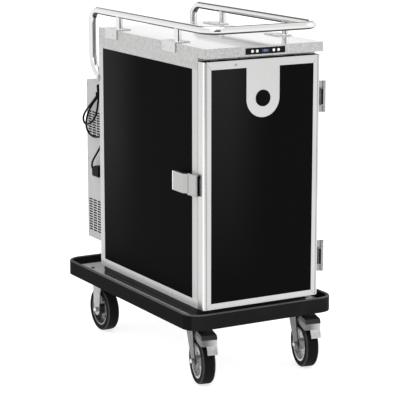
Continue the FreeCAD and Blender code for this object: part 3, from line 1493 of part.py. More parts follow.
def cord_hooks():
    """A hook for the cord's loops and a wire rest under the plug, on the unit's left side."""
    radius = size.hook_diameter / 2
    hook_y = cabinet_back + size.hook_inset
    hook_z = unit_top - size.hook_drop
    tip_radius = size.hook_tip_diameter / 2
    tip_x = -(unit_x + size.hook_reach - tip_radius)
    half_plate = size.hook_plate_width / 2
    plate_top = hook_z + radius
    plate = box("HookPlate", (-(unit_x + size.hook_plate), -unit_x), (hook_y - half_plate, hook_y + half_plate),
                (plate_top - size.hook_plate_height, plate_top))
    peg = cylinder("HookPeg", radius, "x", (tip_x, -unit_x), (hook_y, hook_z))
    turned_up = cylinder("HookTip", tip_radius, "z", (hook_z - radius, hook_z + size.hook_tip_height),
                         (tip_x, hook_y))
    hook = fuse("CordHook", [plate, peg, turned_up])
    x, y, z = cord_points[-1]
    wire = size.holder_wire / 2
    rest_z = z - size.plug_grip_low - size.holder_gap - wire
    rest_x = x - size.plug_width / 2
    ys = (y - size.plug_length + size.plug_round, y - size.plug_round)
    wires = [cylinder(f"RestWire{index}", wire, "x", (rest_x, -unit_x), (rest_y, rest_z))
             for index, rest_y in enumerate(ys)]
    wires.append(cylinder("RestCross", wire, "y", ys, (rest_x, rest_z)))
    sub_part("cord_hooks", group("CordHooks", [hook, fuse("PlugRest", wires)]))


def build():
    base_plate()
    bumper_rim()
    plinth()
    caster_bolts()
    for side in ("front_left", "front_right"):
        swivel_caster(side)
    for side in ("rear_left", "rear_right"):
        fixed_caster(side)
    rear_axles()
    insulation()
    outer_casing()
    side_panels()
    inner_liner()
    top_cover()
    tray_runners()
    evaporator()
    door()
    latch()
    hinges()
    guard_rail()
    rail_posts()
    control_panel()
    unit_housing()
    compressor()
    condenser()
    power_cord()
    power_plug()
    cord_gland()
    cord_hooks()
    doc.recompute()


def check():
    """Stops if any object failed or any sub-part's shape isn't sound."""
    for thing in doc.Objects:
        if any(word in thing.State for word in ("Invalid", "Error")):
            raise RuntimeError(f"{thing.Name} failed: {thing.State}")
    for thing in sub_parts:
        if thing.Shape.isNull() or not thing.Shape.isValid() or thing.Shape.Volume <= 0:
            raise RuntimeError(f"{thing.Label} has no sound shape")


def write():
    os.makedirs("parts", exist_ok=True)
    for thing in sub_parts:
        thing.Shape.exportStep(f"parts/{thing.Label}.step")
    print(len(sub_parts), "sub-parts written")


build()
check()
write()
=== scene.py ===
import bmesh
import bpy
import json
import math
from mathutils import Matrix, Vector


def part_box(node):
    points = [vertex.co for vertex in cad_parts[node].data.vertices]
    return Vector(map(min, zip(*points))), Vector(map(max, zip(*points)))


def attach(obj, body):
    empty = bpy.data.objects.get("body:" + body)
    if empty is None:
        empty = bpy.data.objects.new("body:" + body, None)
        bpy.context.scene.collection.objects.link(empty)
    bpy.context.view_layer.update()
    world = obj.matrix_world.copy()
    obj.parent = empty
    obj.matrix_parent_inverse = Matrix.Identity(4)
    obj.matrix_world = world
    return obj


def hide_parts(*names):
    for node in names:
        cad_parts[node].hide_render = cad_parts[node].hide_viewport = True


# Refrigerated banquet trolley: finishes, fasteners, display and power cord round the CAD frame.
# Metres, in the frame's own axes: front along -Y, Z up.

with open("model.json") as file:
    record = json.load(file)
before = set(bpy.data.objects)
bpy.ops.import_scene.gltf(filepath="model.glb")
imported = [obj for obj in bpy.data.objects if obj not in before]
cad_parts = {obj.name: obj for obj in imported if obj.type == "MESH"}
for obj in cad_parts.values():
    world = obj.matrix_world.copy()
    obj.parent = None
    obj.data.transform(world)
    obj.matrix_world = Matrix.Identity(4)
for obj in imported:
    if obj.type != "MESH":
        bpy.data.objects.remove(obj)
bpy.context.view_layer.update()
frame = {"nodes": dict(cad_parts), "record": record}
nodes = frame["nodes"]
scene = bpy.context.scene
MM = 0.001
UP = Vector((0, 0, 1))
FRONT = Vector((0, -1, 0))
BACK = Vector((0, 1, 0))

# Boxes of the CAD nodes that the details are placed on
casing_low, casing_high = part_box("outer_casing")
side_low, side_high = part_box("side_panels")
cover_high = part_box("top_cover")[1]
door_low, door_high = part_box("door_pan")
panel_low, panel_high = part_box("door_panel")
posts_low, posts_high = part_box("rail_posts")
rail_low, rail_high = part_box("guard_rail")
control_low, control_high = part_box("control_panel")
unit_low, unit_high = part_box("unit_housing")
BRACKET_SHEET = posts_high.x - casing_high.x
UNIT_SHEET = 0.0015
FRONT_CASTERS = ("front_left", "front_right")
REAR_CASTERS = ("rear_left", "rear_right")

# The cord's control points, as in its CAD route, in millimetres: out from the unit's left side,
# behind the cabinet's back and below the unit's top.
CORD_ROUTE = (
    (23.5, 17, 26), (23.5, 17.5, 46), (23.5, 22, 70), (23.5, 29, 93), (23.5, 41, 113),
    (23.5, 62, 132), (23.5, 87, 144), (23.5, 113, 152), (23.5, 132, 147), (23.5, 139, 133),
    (23.5, 129, 115), (23.5, 97, 89), (21.5, 62, 64), (18, 39, 42), (15.8, 29.5, 30.5),
    (15.3, 18.5, 31.5), (15, 12, 45), (14.5, 10.5, 73), (14, 11, 108), (14, 10, 143), (14, 14, 168),
    (14, 29, 183), (14, 52, 188), (14, 76, 191), (14, 106, 186), (14, 126, 176), (14, 136, 160),
    (14, 132, 138), (14, 119, 111), (13, 90, 81), (10.5, 58, 55), (8.6, 39, 39), (7.6, 29.5, 30),
    (7.2, 18.5, 31.5), (6, 11.5, 47), (5, 10, 78), (4.5, 11, 113), (5, 10, 148), (8, 11, 178),
    (14, 14, 204), (18, 24, 223), (20, 43, 244), (20, 67, 266), (18.5, 80, 278), (17, 87, 289),
    (16, 87.5, 299.5), (15, 81.5, 306.5), (14.5, 73.5, 308.5), (14.5, 65.5, 308.5),
)
CORD_DIAMETER = 0.007

# Most noise values lie between these two, so ranges and tints are spread over them.
NOISE_LOW = 0.3
NOISE_HIGH = 0.7


# Shader building blocks
class Finish:
    """A material with a principled shader and small helpers for its nodes."""

    def __init__(self, name, colour, metallic=0.0, roughness=0.5, gloss=0.5):
        self.colour = colour
        self.material = bpy.data.materials.new(name)
        self.material.use_nodes = True
        self.tree = self.material.node_tree
        self.shader = self.tree.nodes["Principled BSDF"]
        self.shader.inputs["Base Color"].default_value = (*colour, 1)
        self.shader.inputs["Metallic"].default_value = metallic
        self.shader.inputs["Roughness"].default_value = roughness
        self.shader.inputs["Specular IOR Level"].default_value = gloss
        self.place = self.tree.nodes.new("ShaderNodeTexCoord").outputs["Object"]

    def link(self, output, target):
        self.tree.links.new(output, target)

    def noise(self, scale, detail, stretch=(1, 1, 1)):
        """Noise over the object's own metres, squeezed along each axis by stretch."""
        mapping = self.tree.nodes.new("ShaderNodeMapping")
        mapping.inputs["Scale"].default_value = stretch
        self.link(self.place, mapping.inputs["Vector"])
        texture = self.tree.nodes.new("ShaderNodeTexNoise")
        texture.inputs["Scale"].default_value = scale
        texture.inputs["Detail"].default_value = detail
        self.link(mapping.outputs["Vector"], texture.inputs["Vector"])
        return texture.outputs["Fac"]

    def coordinate(self, vector, axis):
        """One coordinate of a vector."""
        split = self.tree.nodes.new("ShaderNodeSeparateXYZ")
        self.link(vector, split.inputs["Vector"])
        return split.outputs[axis]

    def remap(self, value, start, end, low=0, high=1, blend="LINEAR"):
        """Takes the range from start to end to the range from low to high."""
        ramp = self.tree.nodes.new("ShaderNodeMapRange")
        ramp.interpolation_type = blend
        ramp.inputs["From Min"].default_value = start
        ramp.inputs["From Max"].default_value = end
        ramp.inputs["To Min"].default_value = low
        ramp.inputs["To Max"].default_value = high
        self.link(value, ramp.inputs["Value"])
        return ramp.outputs["Result"]

    def spread(self, value, low, high):
        """Spreads a noise value over a range."""
        return self.remap(value, NOISE_LOW, NOISE_HIGH, low, high)

    def fade(self, axis, start, end, blend="LINEAR"):
        """A value that goes from 0 to 1 between two places along one of the object's axes."""
        return self.remap(self.coordinate(self.place, axis), start, end, blend=blend)

    def roughen(self, value, low, high):
        """Varies the roughness over a range."""
        self.link(self.spread(value, low, high), self.shader.inputs["Roughness"])

    def bump(self, value, height, strength):
        """Raises the surface by a value, without changing its shape."""
        node = self.tree.nodes.new("ShaderNodeBump")
        node.inputs["Distance"].default_value = height
        node.inputs["Strength"].default_value = strength
        self.link(value, node.inputs["Height"])
        self.link(node.outputs["Normal"], self.shader.inputs["Normal"])

    def tint(self, value, dark, light, low=NOISE_LOW, high=NOISE_HIGH):
        """Varies the base colour between two colours, and gives the material."""
        ramp = self.tree.nodes.new("ShaderNodeValToRGB")
        ramp.color_ramp.elements[0].position = low
        ramp.color_ramp.elements[0].color = (*dark, 1)
        ramp.color_ramp.elements[1].position = high
        ramp.color_ramp.elements[1].color = (*light, 1)
        self.link(value, ramp.inputs["Fac"])
        self.link(ramp.outputs["Color"], self.shader.inputs["Base Color"])
        return self.material

    def vary(self, value, least, most, low=NOISE_LOW, high=NOISE_HIGH):
        """Varies the base colour between two shares of it, and gives the material."""
        dark = [channel * least for channel in self.colour]
        light = [channel * most for channel in self.colour]
        return self.tint(value, dark, light, low, high)


# Kinds of finish
def brushed_grain(name, colour, stretch, roughness, metallic):
    """Sheet steel with fine brushing along the axis that isn't stretched, still without a tint."""
    finish = Finish(name, colour, metallic=metallic, roughness=roughness)
    lines = finish.noise(scale=14, detail=4, stretch=stretch)
    finish.roughen(lines, low=roughness * 0.9, high=roughness * 1.12)
    finish.bump(lines, height=0.00003, strength=0.25)
    return finish


def brushed(name, colour, stretch, roughness, metallic=0.9):
    """Brushed sheet steel with faint patches."""
    finish = brushed_grain(name, colour, stretch, roughness, metallic)
    return finish.vary(finish.noise(scale=2.5, detail=2), least=0.95, most=1.04)


def embossed(name, colour, metallic):
    """Sheet with a fine rolled-in pebble texture."""
    finish = Finish(name, colour, metallic=metallic, roughness=0.42, gloss=0.15)
    pebbles = finish.tree.nodes.new("ShaderNodeTexVoronoi")
    pebbles.inputs["Scale"].default_value = 150
    finish.link(finish.place, pebbles.inputs["Vector"])
    finish.bump(pebbles.outputs["Distance"], height=0.0014, strength=0.7)
    return finish.vary(finish.noise(scale=120, detail=3), least=0.84, most=1.1)


def polished(name, colour, roughness, shade_below=None):
    """Polished metal with faint marks, or with painted shade on its underside.

    shade_below holds two upward shares of the normal: painted shade below the first, full colour above the
    second.
    """
    finish = Finish(name, colour, metallic=1.0, roughness=roughness)
    marks = finish.noise(scale=35, detail=5)
    finish.roughen(marks, low=roughness * 0.7, high=roughness * 1.5)
    if shade_below is None:
        return finish.vary(marks, least=0.92, most=1.03)
    # Painted shade: the base colour darkens on faces that look down.
    normal = finish.tree.nodes.new("ShaderNodeNewGeometry").outputs["Normal"]
    upward = finish.remap(finish.coordinate(normal, "Z"), *shade_below)
    return finish.vary(upward, least=0.1, most=1)


def plating(name, colour):
    """Zinc plating still without a tint, and its cloudy patches."""
    finish = Finish(name, colour, metallic=0.9, roughness=0.3)
    patches = finish.noise(scale=45, detail=5)
    finish.roughen(patches, low=0.2, high=0.45)
    finish.bump(finish.noise(scale=500, detail=2), height=0.00005, strength=0.3)
    return finish, patches


def plated(name, colour):
    """Zinc plating with cloudy patches."""
    finish, patches = plating(name, colour)
    return finish.vary(patches, least=0.75, most=1.1)


def coated(name, colour, roughness, grain, height, gloss=0.5, mottle=0.12):
    """Paint or moulded plastic with a fine grain."""
    finish = Finish(name, colour, roughness=roughness, gloss=gloss)
    finish.bump(finish.noise(scale=grain, detail=3), height, strength=0.4)
    clouds = finish.noise(scale=6, detail=4)
    finish.roughen(clouds, low=roughness * (1 - mottle), high=roughness * (1 + mottle))
    return finish.vary(finish.noise(scale=12, detail=3), least=1 - mottle, most=1 + mottle)


def sheened(name, dark, light, across, up):
    """Black panel with a soft painted sheen that fades across it and down it."""
    finish = Finish(name, dark, roughness=0.42, gloss=0.006)
    finish.bump(finish.noise(scale=1200, detail=3), height=0.00004, strength=0.4)
    # Painted sheen: the base colour lightens towards one corner of the panel.
    both = finish.tree.nodes.new("ShaderNodeMath")
    both.operation = "MULTIPLY"
    finish.link(finish.fade(*across, "SMOOTHSTEP"), both.inputs[0])
    finish.link(finish.fade(*up), both.inputs[1])
    return finish.tint(both.outputs["Value"], dark, light, low=0, high=1)


def rubber(name, colour, gloss):
    """Rubber with scuffs and dust in its grain."""
    finish = Finish(name, colour, roughness=0.6, gloss=gloss)
    finish.bump(finish.noise(scale=900, detail=3), height=0.00012, strength=0.5)
    scuffs = finish.noise(scale=55, detail=6)
    finish.roughen(scuffs, low=0.5, high=0.75)
    return finish.vary(scuffs, least=0.8, most=1.6)


def glowing(name, colour, glow, strength):
    """Dark glass with a back light, for the display and its figures."""
    finish = Finish(name, colour, roughness=0.12)
    finish.shader.inputs["Emission Color"].default_value = (*glow, 1)
    blocks = finish.noise(scale=220, detail=1, stretch=(1, 1, 0.35))
    back_light = finish.spread(blocks, low=0, high=strength)
    finish.link(back_light, finish.shader.inputs["Emission Strength"])
    return finish.vary(blocks, least=0.8, most=1.3)


# Brushing runs along the axis whose stretch is 1.
BRUSHED_UPRIGHT = (18, 18, 1)
BRUSHED_ACROSS = (1, 18, 18)
BRUSHED_LENGTHWISE = (18, 1, 18)
FINE_UPRIGHT = (30, 30, 1)
CAST_EVENLY = (5, 5, 5)
SHEET_COLOUR = (0.43, 0.43, 0.426)

# The finish of each material slot of the record
FINISHES = {
    "steel": brushed("brushed_sheet", SHEET_COLOUR, BRUSHED_UPRIGHT, roughness=0.3, metallic=0.45),
    "liner_steel": brushed("bright_sheet", (0.72, 0.72, 0.715), BRUSHED_ACROSS,
                           roughness=0.3, metallic=0.4),
    # The rail's tube, with painted shade on its underside.
    "rail_steel": polished("polished_tube", (0.63, 0.63, 0.626), roughness=0.05,
                           shade_below=(-0.62, -0.38)),
    "cast_steel": brushed("satin_casting", (0.37, 0.37, 0.367), CAST_EVENLY, roughness=0.22),
    "zinc": plated("zinc_plate", (0.36, 0.36, 0.357)),
    "dark_panel": coated("black_panel", (0.0036, 0.0036, 0.0038),
                         roughness=0.42, grain=1200, height=0.00004, gloss=0.006),
    "disc": coated("black_disc", (0.0028, 0.0028, 0.0028),
                   roughness=0.4, grain=900, height=0.00005, gloss=0.03),
    "base": coated("black_moulding", (0.0063, 0.0063, 0.0065),
                   roughness=0.3, grain=700, height=0.00008, gloss=0.006),
    "deck": coated("deck_coating", (0.42, 0.42, 0.422),
                   roughness=0.4, grain=500, height=0.0002, gloss=0.3),
    "foam": coated("rigid_foam", (0.82, 0.77, 0.58), roughness=0.85, grain=400, height=0.0004),
    "gasket": rubber("soft_gasket", (0.004, 0.004, 0.004), gloss=0.04),
    "tyre": rubber("tyre_rubber", (0.0042, 0.0042, 0.0044), gloss=0.05),
    "wheel_core": plated("wheel_casting", (0.16, 0.162, 0.164)),
    "pedal": coated("pedal_moulding", (0.008, 0.008, 0.008),
                    roughness=0.36, grain=700, height=0.0001, gloss=0.25),
    "bezel": coated("black_bezel", (0.004, 0.004, 0.005),
                    roughness=0.2, grain=900, height=0.00001, gloss=0.08),
    "button": coated("pale_keys", (0.80, 0.81, 0.82), roughness=0.35, grain=800, height=0.00003),
    "unit": coated("pale_coating", (0.37, 0.37, 0.367),
                   roughness=0.45, grain=1000, height=0.00006, gloss=0.3, mottle=0.02),
    "fins": brushed("bare_fins", (0.76, 0.77, 0.78), FINE_UPRIGHT, roughness=0.3),
    "compressor": coated("black_coating", (0.012, 0.012, 0.012),
                         roughness=0.38, grain=600, height=0.0001, gloss=0.3),
    "fan": coated("fan_moulding", (0.02, 0.02, 0.021),
                  roughness=0.48, grain=700, height=0.0001, gloss=0.3),
    "cord": coated("cord_sheath", (0.003, 0.003, 0.003),
                   roughness=0.45, grain=900, height=0.00008, gloss=0.05),
    "plug": coated("plug_moulding", (0.0025, 0.0055, 0.0045),
                   roughness=0.45, grain=700, height=0.0001, gloss=0.03),
}

# Finishes of single nodes, faces and details; some are lit or shaded copies that paint light and shade
COVER_SHEET = embossed("embossed_sheet", (0.44, 0.44, 0.436), metallic=0.85)
COVER_TOP = coated("cover_top_sheet", (0.40, 0.40, 0.397),
                   roughness=0.08, grain=300, height=0.00001, gloss=0.45, mottle=0.03)
BRACKET_PLATE = brushed("bracket_plate", (0.52, 0.52, 0.516), BRUSHED_LENGTHWISE,
                        roughness=0.34, metallic=0.7)
# A lighter copy of the wheel casting for the front wheels: painted light.
LIT_WHEEL_CORE = plated("lit_wheel_casting", (0.66, 0.665, 0.67))
# A lighter copy of the sheet steel for the door's pan: painted light on its front.
DOOR_LIT_SHEET = brushed("door_lit_sheet", (0.51, 0.51, 0.506), BRUSHED_UPRIGHT, roughness=0.3)
# Painted highlight on the door's rounded upright edges.
DOOR_EDGE_HIGHLIGHT = brushed("door_edge_sheet", (0.80, 0.80, 0.795), BRUSHED_UPRIGHT, roughness=0.25)
DOOR_LINER = coated("door_liner_sheet", (0.62, 0.62, 0.616),
                    roughness=0.35, grain=900, height=0.00003, gloss=0.4, mottle=0.03)
# A lighter copy of the zinc plating for the pedals' tabs and ribs: painted light.
PEDAL_LIT_PLATE = plated("pedal_lit_plate", (0.60, 0.60, 0.596))
# A darker copy of the plating for the rings of the rear wheels: painted shade.
REAR_RING_SHADED = plated("rear_ring_shaded_plate", (0.22, 0.22, 0.218))
# A darker copy of the zinc plating for the front forks: painted shade.
FRONT_FORK_SHADED = plated("front_fork_shaded_plate", (0.125, 0.125, 0.124))
HINGE_PLATE = plated("hinge_plate", (0.33, 0.33, 0.328))
# Lighter copies of the black moulding for the bumper rim: painted light on its front faces and a painted
# highlight along its top.
RIM_FRONT_LIT = coated("rim_front_painted_light", (0.0116, 0.0116, 0.0118),
                   roughness=0.3, grain=700, height=0.00008, gloss=0.006)
RIM_TOP_HIGHLIGHT = coated("rim_top_highlight", (0.055, 0.055, 0.056),
                 roughness=0.4, grain=700, height=0.00008, gloss=0.2)
# Painted highlight on the rounded free end of the latch lever.
LATCH_TIP_HIGHLIGHT = polished("lever_tip_highlight", (0.86, 0.86, 0.855), roughness=0.2)
# Painted highlight on the rounded shoulders of the tyres.
TYRE_SHOULDER_HIGHLIGHT = rubber("tyre_shoulder", (0.028, 0.028, 0.0285), gloss=0.1)
DARK_BOLT = polished("dark_bolt", (0.05, 0.05, 0.052), roughness=0.4)
SEAM = coated("dark_seam", (0.03, 0.03, 0.03), roughness=0.6, grain=800, height=0.00005, gloss=0.2)
# A dark line of painted shade along the door's folds, beside the rounded edges.
FOLD_SHADE = brushed("fold_shade", (0.20, 0.20, 0.20), BRUSHED_UPRIGHT, roughness=0.3)
PLINTH_COAT = coated("plinth_coating", (0.032, 0.032, 0.033),
                     roughness=0.45, grain=700, height=0.0001, gloss=0.2)
DISPLAY = glowing("display_glass", (0.004, 0.005, 0.02), glow=(0.08, 0.12, 0.60), strength=0.14)
DIGITS = glowing("display_digits", (0.05, 0.07, 0.2), glow=(0.55, 0.65, 1.0), strength=1.0)
OWN_FINISHES = {
    "top_cover": COVER_SHEET,
    "door_pan": DOOR_LIT_SHEET,
    "caster_bolts": DARK_BOLT,
    "plinth": PLINTH_COAT,
    "hinge_arms": HINGE_PLATE,
    "hinge_brackets": HINGE_PLATE,
}


def paint(piece, finish):
    piece.data.materials.clear()
    piece.data.materials.append(finish)


# Painted light and shade that change from place to place: heights in metres, and shares of a panel's or
# lever's size
FOOT_FADE_ABOVE = 0.012
FOOT_FADE_BELOW = 0.006
FOOT_HIGHLIGHT = 1.5
LEVER_SHADE_SHARE = 0.2
SIDE_SHEEN_DEPTH_SHARE = 0.47
SIDE_SHEEN_HEIGHT_SHARE = 0.6
DOOR_SHEEN_END_SHARE = 0.58
DOOR_SHEEN_FULL_SHARE = 0.12
DOOR_SHEEN_FOOT = 0.05824


def casing_sheet():
    """Brushed sheet with a painted highlight at the foot, below the side panels."""
    finish = brushed_grain("casing_sheet", SHEET_COLOUR, BRUSHED_UPRIGHT, roughness=0.3, metallic=0.45)
    foot = finish.fade("Z", side_low.z + FOOT_FADE_ABOVE, side_low.z - FOOT_FADE_BELOW)
    return finish.vary(foot, least=1, most=FOOT_HIGHLIGHT, low=0, high=1)


def lever_plate(side):
    """Plating on a brake lever, with painted shade towards its left end and painted light towards its
    right.
    """
    low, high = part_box(f"{side}_brake_lever")
    finish = plating(f"{side}_lever_plate", (0.4, 0.4, 0.397))[0]
    # Painted shade at the lever's left fading to painted light at its right.
    across = finish.fade("X", low.x + LEVER_SHADE_SHARE * (high.x - low.x), high.x)
    return finish.tint(across, (0.13, 0.13, 0.129), (0.72, 0.72, 0.716), low=0, high=1)


def panel_sheen():
    """The painted sheen on the dark panels: from the upper rear of the sides and the door's upper left."""
    depth = side_high.y - side_low.y
    height = side_high.z - side_low.z
    width = panel_high.x - panel_low.x
    paint(nodes["side_panels"], sheened(
        "side_panel_sheet", (0.0021, 0.0021, 0.0022), (0.0145, 0.0145, 0.0148),
        across=("Y", side_high.y - SIDE_SHEEN_DEPTH_SHARE * depth, side_high.y),
        up=("Z", side_low.z, side_low.z + SIDE_SHEEN_HEIGHT_SHARE * height)))
    paint(nodes["door_panel"], sheened(
        "door_panel_sheet", (0.0038, 0.0038, 0.004), (0.0138, 0.0138, 0.0141),
        across=("X", panel_low.x + DOOR_SHEEN_END_SHARE * width,
                panel_low.x + DOOR_SHEEN_FULL_SHARE * width),
        up=("Z", panel_low.z + DOOR_SHEEN_FOOT, panel_high.z)))


def finish_nodes():
    """Gives each CAD node its slot's finish, or one of its own."""
    for entry in frame["record"]["subparts"]:
        paint(nodes[entry["node"]], FINISHES[entry["material_slot"]])
    for name, finish in OWN_FINISHES.items():
        paint(nodes[name], finish)
    panel_sheen()
    # The casing's foot carries a painted highlight.
    paint(nodes["outer_casing"], casing_sheet())
    for side in FRONT_CASTERS:
        # Each front brake lever gets painted shade and light across it.
        paint(nodes[f"{side}_brake_lever"], lever_plate(side))
        # Front wheel cores in the lit copy and front forks in the shaded copy: painted light and painted
        # shade.
        paint(nodes[f"{side}_wheel_core"], LIT_WHEEL_CORE)
        paint(nodes[f"{side}_caster_fork"], FRONT_FORK_SHADED)


# Faces with a second finish, chosen by place or by their normal's share along a direction
FLAT = 0.9
RIM_FRONT_LEAN = 0.7
RIM_TOP_LEAN = 0.4
SHOULDER_LEAST = 0.3
SHOULDER_MOST = 0.88
EDGE_FORWARD = 0.2
EDGE_LEAST = 0.5
EDGE_MOST = 0.93
SLIT_WALL_LEAN = 0.1
SLIT_MARGIN = 0.0025
LATCH_HIGHLIGHT_DEPTH = 0.0085
TAB_PAINT_HEIGHT = 0.024


def paint_faces(node, finish, chosen):
    """Gives the chosen faces of a CAD node another finish."""
    mesh = nodes[node].data
    mesh.materials.append(finish)
    for face in mesh.polygons:
        if chosen(face):
            face.material_index = len(mesh.materials) - 1


def towards(direction, least):
    """Chooses faces that look along a direction."""
    return lambda face: face.normal.dot(direction) > least


def below(height):
    """Chooses faces below a height."""
    return lambda face: face.center.z < height


def on_shoulder(axis):
    """Chooses the rounded shoulders of a tyre."""
    return lambda face: SHOULDER_LEAST < abs(face.normal.dot(axis)) < SHOULDER_MOST


def on_door_edge(face):
    """Whether a face of the door's pan is on a rounded upright edge."""
    return face.normal.y < -EDGE_FORWARD and EDGE_LEAST < abs(face.normal.x) < EDGE_MOST


def in_slit(face):
    """Whether a face of the cooling unit's housing is the wall of a slit."""
    spot = face.center
    if not unit_low.z + SLIT_MARGIN < spot.z < unit_high.z - SLIT_MARGIN:
        return False
    if min(spot.x - unit_low.x, unit_high.x - spot.x) < UNIT_SHEET:
        along_side = unit_low.y + SLIT_MARGIN < spot.y < unit_high.y - SLIT_MARGIN
        return along_side and abs(face.normal.x) < SLIT_WALL_LEAN
    along_back = unit_low.x + SLIT_MARGIN < spot.x < unit_high.x - SLIT_MARGIN
    in_back = unit_high.y - spot.y < UNIT_SHEET
    return in_back and along_back and abs(face.normal.y) < SLIT_WALL_LEAN


def wheel_axis(side):
    """The direction of a wheel's axle."""
    axes = {joint["name"]: joint["axis"] for joint in frame["record"]["behaviour"]["joints"]}
    return Vector(axes[f"{side}_wheel_spin"]).normalized()


def finish_faces():
    """Gives tops, rims, edges and other faces that differ from their node a second finish; many are
    painted highlights, painted light or painted shade.
    """
    paint_faces("top_cover", COVER_TOP, towards(UP, FLAT))
    # Painted light on the rim's front faces and a painted highlight on its top.
    paint_faces("bumper_rim", RIM_FRONT_LIT, towards(FRONT, RIM_FRONT_LEAN))
    paint_faces("bumper_rim", RIM_TOP_HIGHLIGHT, towards(UP, RIM_TOP_LEAN))
    paint_faces("door_core", DOOR_LINER, towards(BACK, FLAT))
    # Painted highlight on the door's rounded upright edges.
    paint_faces("door_pan", DOOR_EDGE_HIGHLIGHT, on_door_edge)
    # Painted shade: the walls of the housing's slits take the black gasket finish, so the slits read dark.
    paint_faces("unit_housing", FINISHES["gasket"], in_slit)
    paint_faces("rail_posts", BRACKET_PLATE, below(cover_high.z + BRACKET_SHEET + MM))
    # Painted highlight on the lever's free end.
    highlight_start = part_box("latch_lever")[1].y - LATCH_HIGHLIGHT_DEPTH
    paint_faces("latch_lever", LATCH_TIP_HIGHLIGHT, lambda face: face.center.y > highlight_start)
    hooks_low, hooks_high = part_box("cord_hooks")
    paint_faces("cord_hooks", FINISHES["zinc"], below((hooks_low.z + hooks_high.z) / 2))
    for side in FRONT_CASTERS:
        # The pedal's tab gets the lit copy of the plating: painted light.
        tab_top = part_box(f"{side}_brake_lever")[0].z + TAB_PAINT_HEIGHT
        paint_faces(f"{side}_brake_lever", PEDAL_LIT_PLATE, below(tab_top))
    for side in FRONT_CASTERS + REAR_CASTERS:
        # Painted highlight on each tyre's shoulders.
        paint_faces(f"{side}_tyre", TYRE_SHOULDER_HIGHLIGHT, on_shoulder(wheel_axis(side)))


# Soft edges of sheet, mouldings and castings, in millimetres
SOFT_EDGES = {
    "latch_lever": 2.5,
    "latch_body": 0.8,
    "latch_keeper": 0.4,
    "hinge_arms": 0.6,
    "hinge_brackets": 0.6,
    "top_cover": 0.6,
    "door_pan": 0.4,
    "outer_casing": 0.3,
    "unit_housing": 0.3,
    "control_panel": 0.4,
    "plinth": 0.8,
    "rail_posts": 0.4,
    "door_disc": 0.5,
    "power_plug": 1.0,
}
SOFT_CASTER_EDGES = {"brake_lever": 0.5, "brake_hood": 1.6, "caster_fork": 0.5}
SOFT_ANGLE = math.radians(40)
SOFT_SEGMENTS = 2


def soft_edges():
    """Rounds the edges of nodes by a modifier, with their meshes as they were."""
    widths = dict(SOFT_EDGES)
    for side in FRONT_CASTERS:
        widths.update({f"{side}_{name}": width for name, width in SOFT_CASTER_EDGES.items()})
    for name, width in widths.items():
        bevel = nodes[name].modifiers.new("soft_edges", "BEVEL")
        bevel.width = width * MM
        bevel.segments = SOFT_SEGMENTS
        bevel.limit_method = "ANGLE"
        bevel.angle_limit = SOFT_ANGLE


# Mesh building blocks: a form adds itself to a mesh that is being made.
SCREW_STEPS = 16
CAP_STEPS = 24
WELD_STEPS = 28
ROSE_STEPS = 36
HUB_STEPS = 40
RIM_STEPS = 64

# A domed screw head with a dimple, standing on its surface, as shares of its radius
SCREW_HEAD = ((0, 0), (1, 0), (1, 0.25), (0.8, 0.5), (0.4, 0.62), (0.3, 0.35), (0, 0.35))


def add_object(name, data):
    thing = bpy.data.objects.new(name, data)
    scene.collection.objects.link(thing)
    return thing


def new_piece(name, forms, slot, body, finish=None):
    """A mesh piece of the object that rides on a body, from (maker, its values) forms."""
    mesh = bpy.data.meshes.new(name)
    work = bmesh.new()
    for maker, *values in forms:
        maker(work, *values)
    bmesh.ops.recalc_face_normals(work, faces=work.faces)
    work.to_mesh(mesh)
    work.free()
    piece = add_object(name, mesh)
    paint(piece, finish or FINISHES[slot])
    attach(piece, body)
    return piece


def smooth(piece):
    for face in piece.data.polygons:
        face.use_smooth = True


def lathe(work, place, direction, profile, steps):
    """Turns a profile of (radius, height) about an axis and adds it as one closed form."""
    facing = UP.rotation_difference(Vector(direction)).to_matrix().to_4x4()
    turn = Matrix.Translation(place) @ facing
    angles = [2 * math.pi * step / steps for step in range(steps)]
    rings = []
    for radius, height in profile:
        if radius == 0:
            spots = [Vector((0, 0, height))]
        else:
            spots = [Vector((radius * math.cos(a), radius * math.sin(a), height)) for a in angles]
        rings.append([work.verts.new(turn @ spot) for spot in spots])
    for lower, upper in zip(rings, rings[1:]):
        for step in range(steps):
            after = (step + 1) % steps
            corners = [lower[step % len(lower)], lower[after % len(lower)],
                       upper[after % len(upper)], upper[step % len(upper)]]
            unique = list(dict.fromkeys(corners))
            if len(unique) > 2:
                work.faces.new(unique)


def slab(work, low, high):
    """A block between two corners."""
    size = [high[k] - low[k] for k in range(3)]
    middle = [(high[k] + low[k]) / 2 for k in range(3)]
    turn = Matrix.Translation(middle) @ Matrix.Diagonal((*size, 1))
    return bmesh.ops.create_cube(work, size=1, matrix=turn)["verts"]


def rounded_slab(work, low, high, rounding):
    """A block between two corners, with rounded edges."""
    verts = slab(work, low, high)
    edges = list({edge for vert in verts for edge in vert.link_edges})
    bmesh.ops.bevel(work, geom=edges, offset=rounding, segments=2, affect="EDGES", profile=0.5)


def strip(work, start, end, normal, width, thickness):
    """A thin flat bar between two points of a face."""
    start, end = Vector(start), Vector(end)
    across = normal.cross(end - start).normalized() * (width / 2)
    corners = [start - across, end - across, end + across, start + across]
    low = [work.verts.new(corner) for corner in corners]
    high = [work.verts.new(corner + normal * thickness) for corner in corners]
    work.faces.new(low[::-1])
    work.faces.new(high)
    for index in range(4):
        after = (index + 1) % 4
        work.faces.new((low[index], low[after], high[after], high[index]))


def screws(name, places, direction, radius, slot, body, finish=None):
    """Screw heads of one size, all facing one way, as one piece."""
    head = [(share * radius, height * radius) for share, height in SCREW_HEAD]
    forms = [(lathe, place, direction, head, SCREW_STEPS) for place in places]
    smooth(new_piece(name, forms, slot, body, finish))


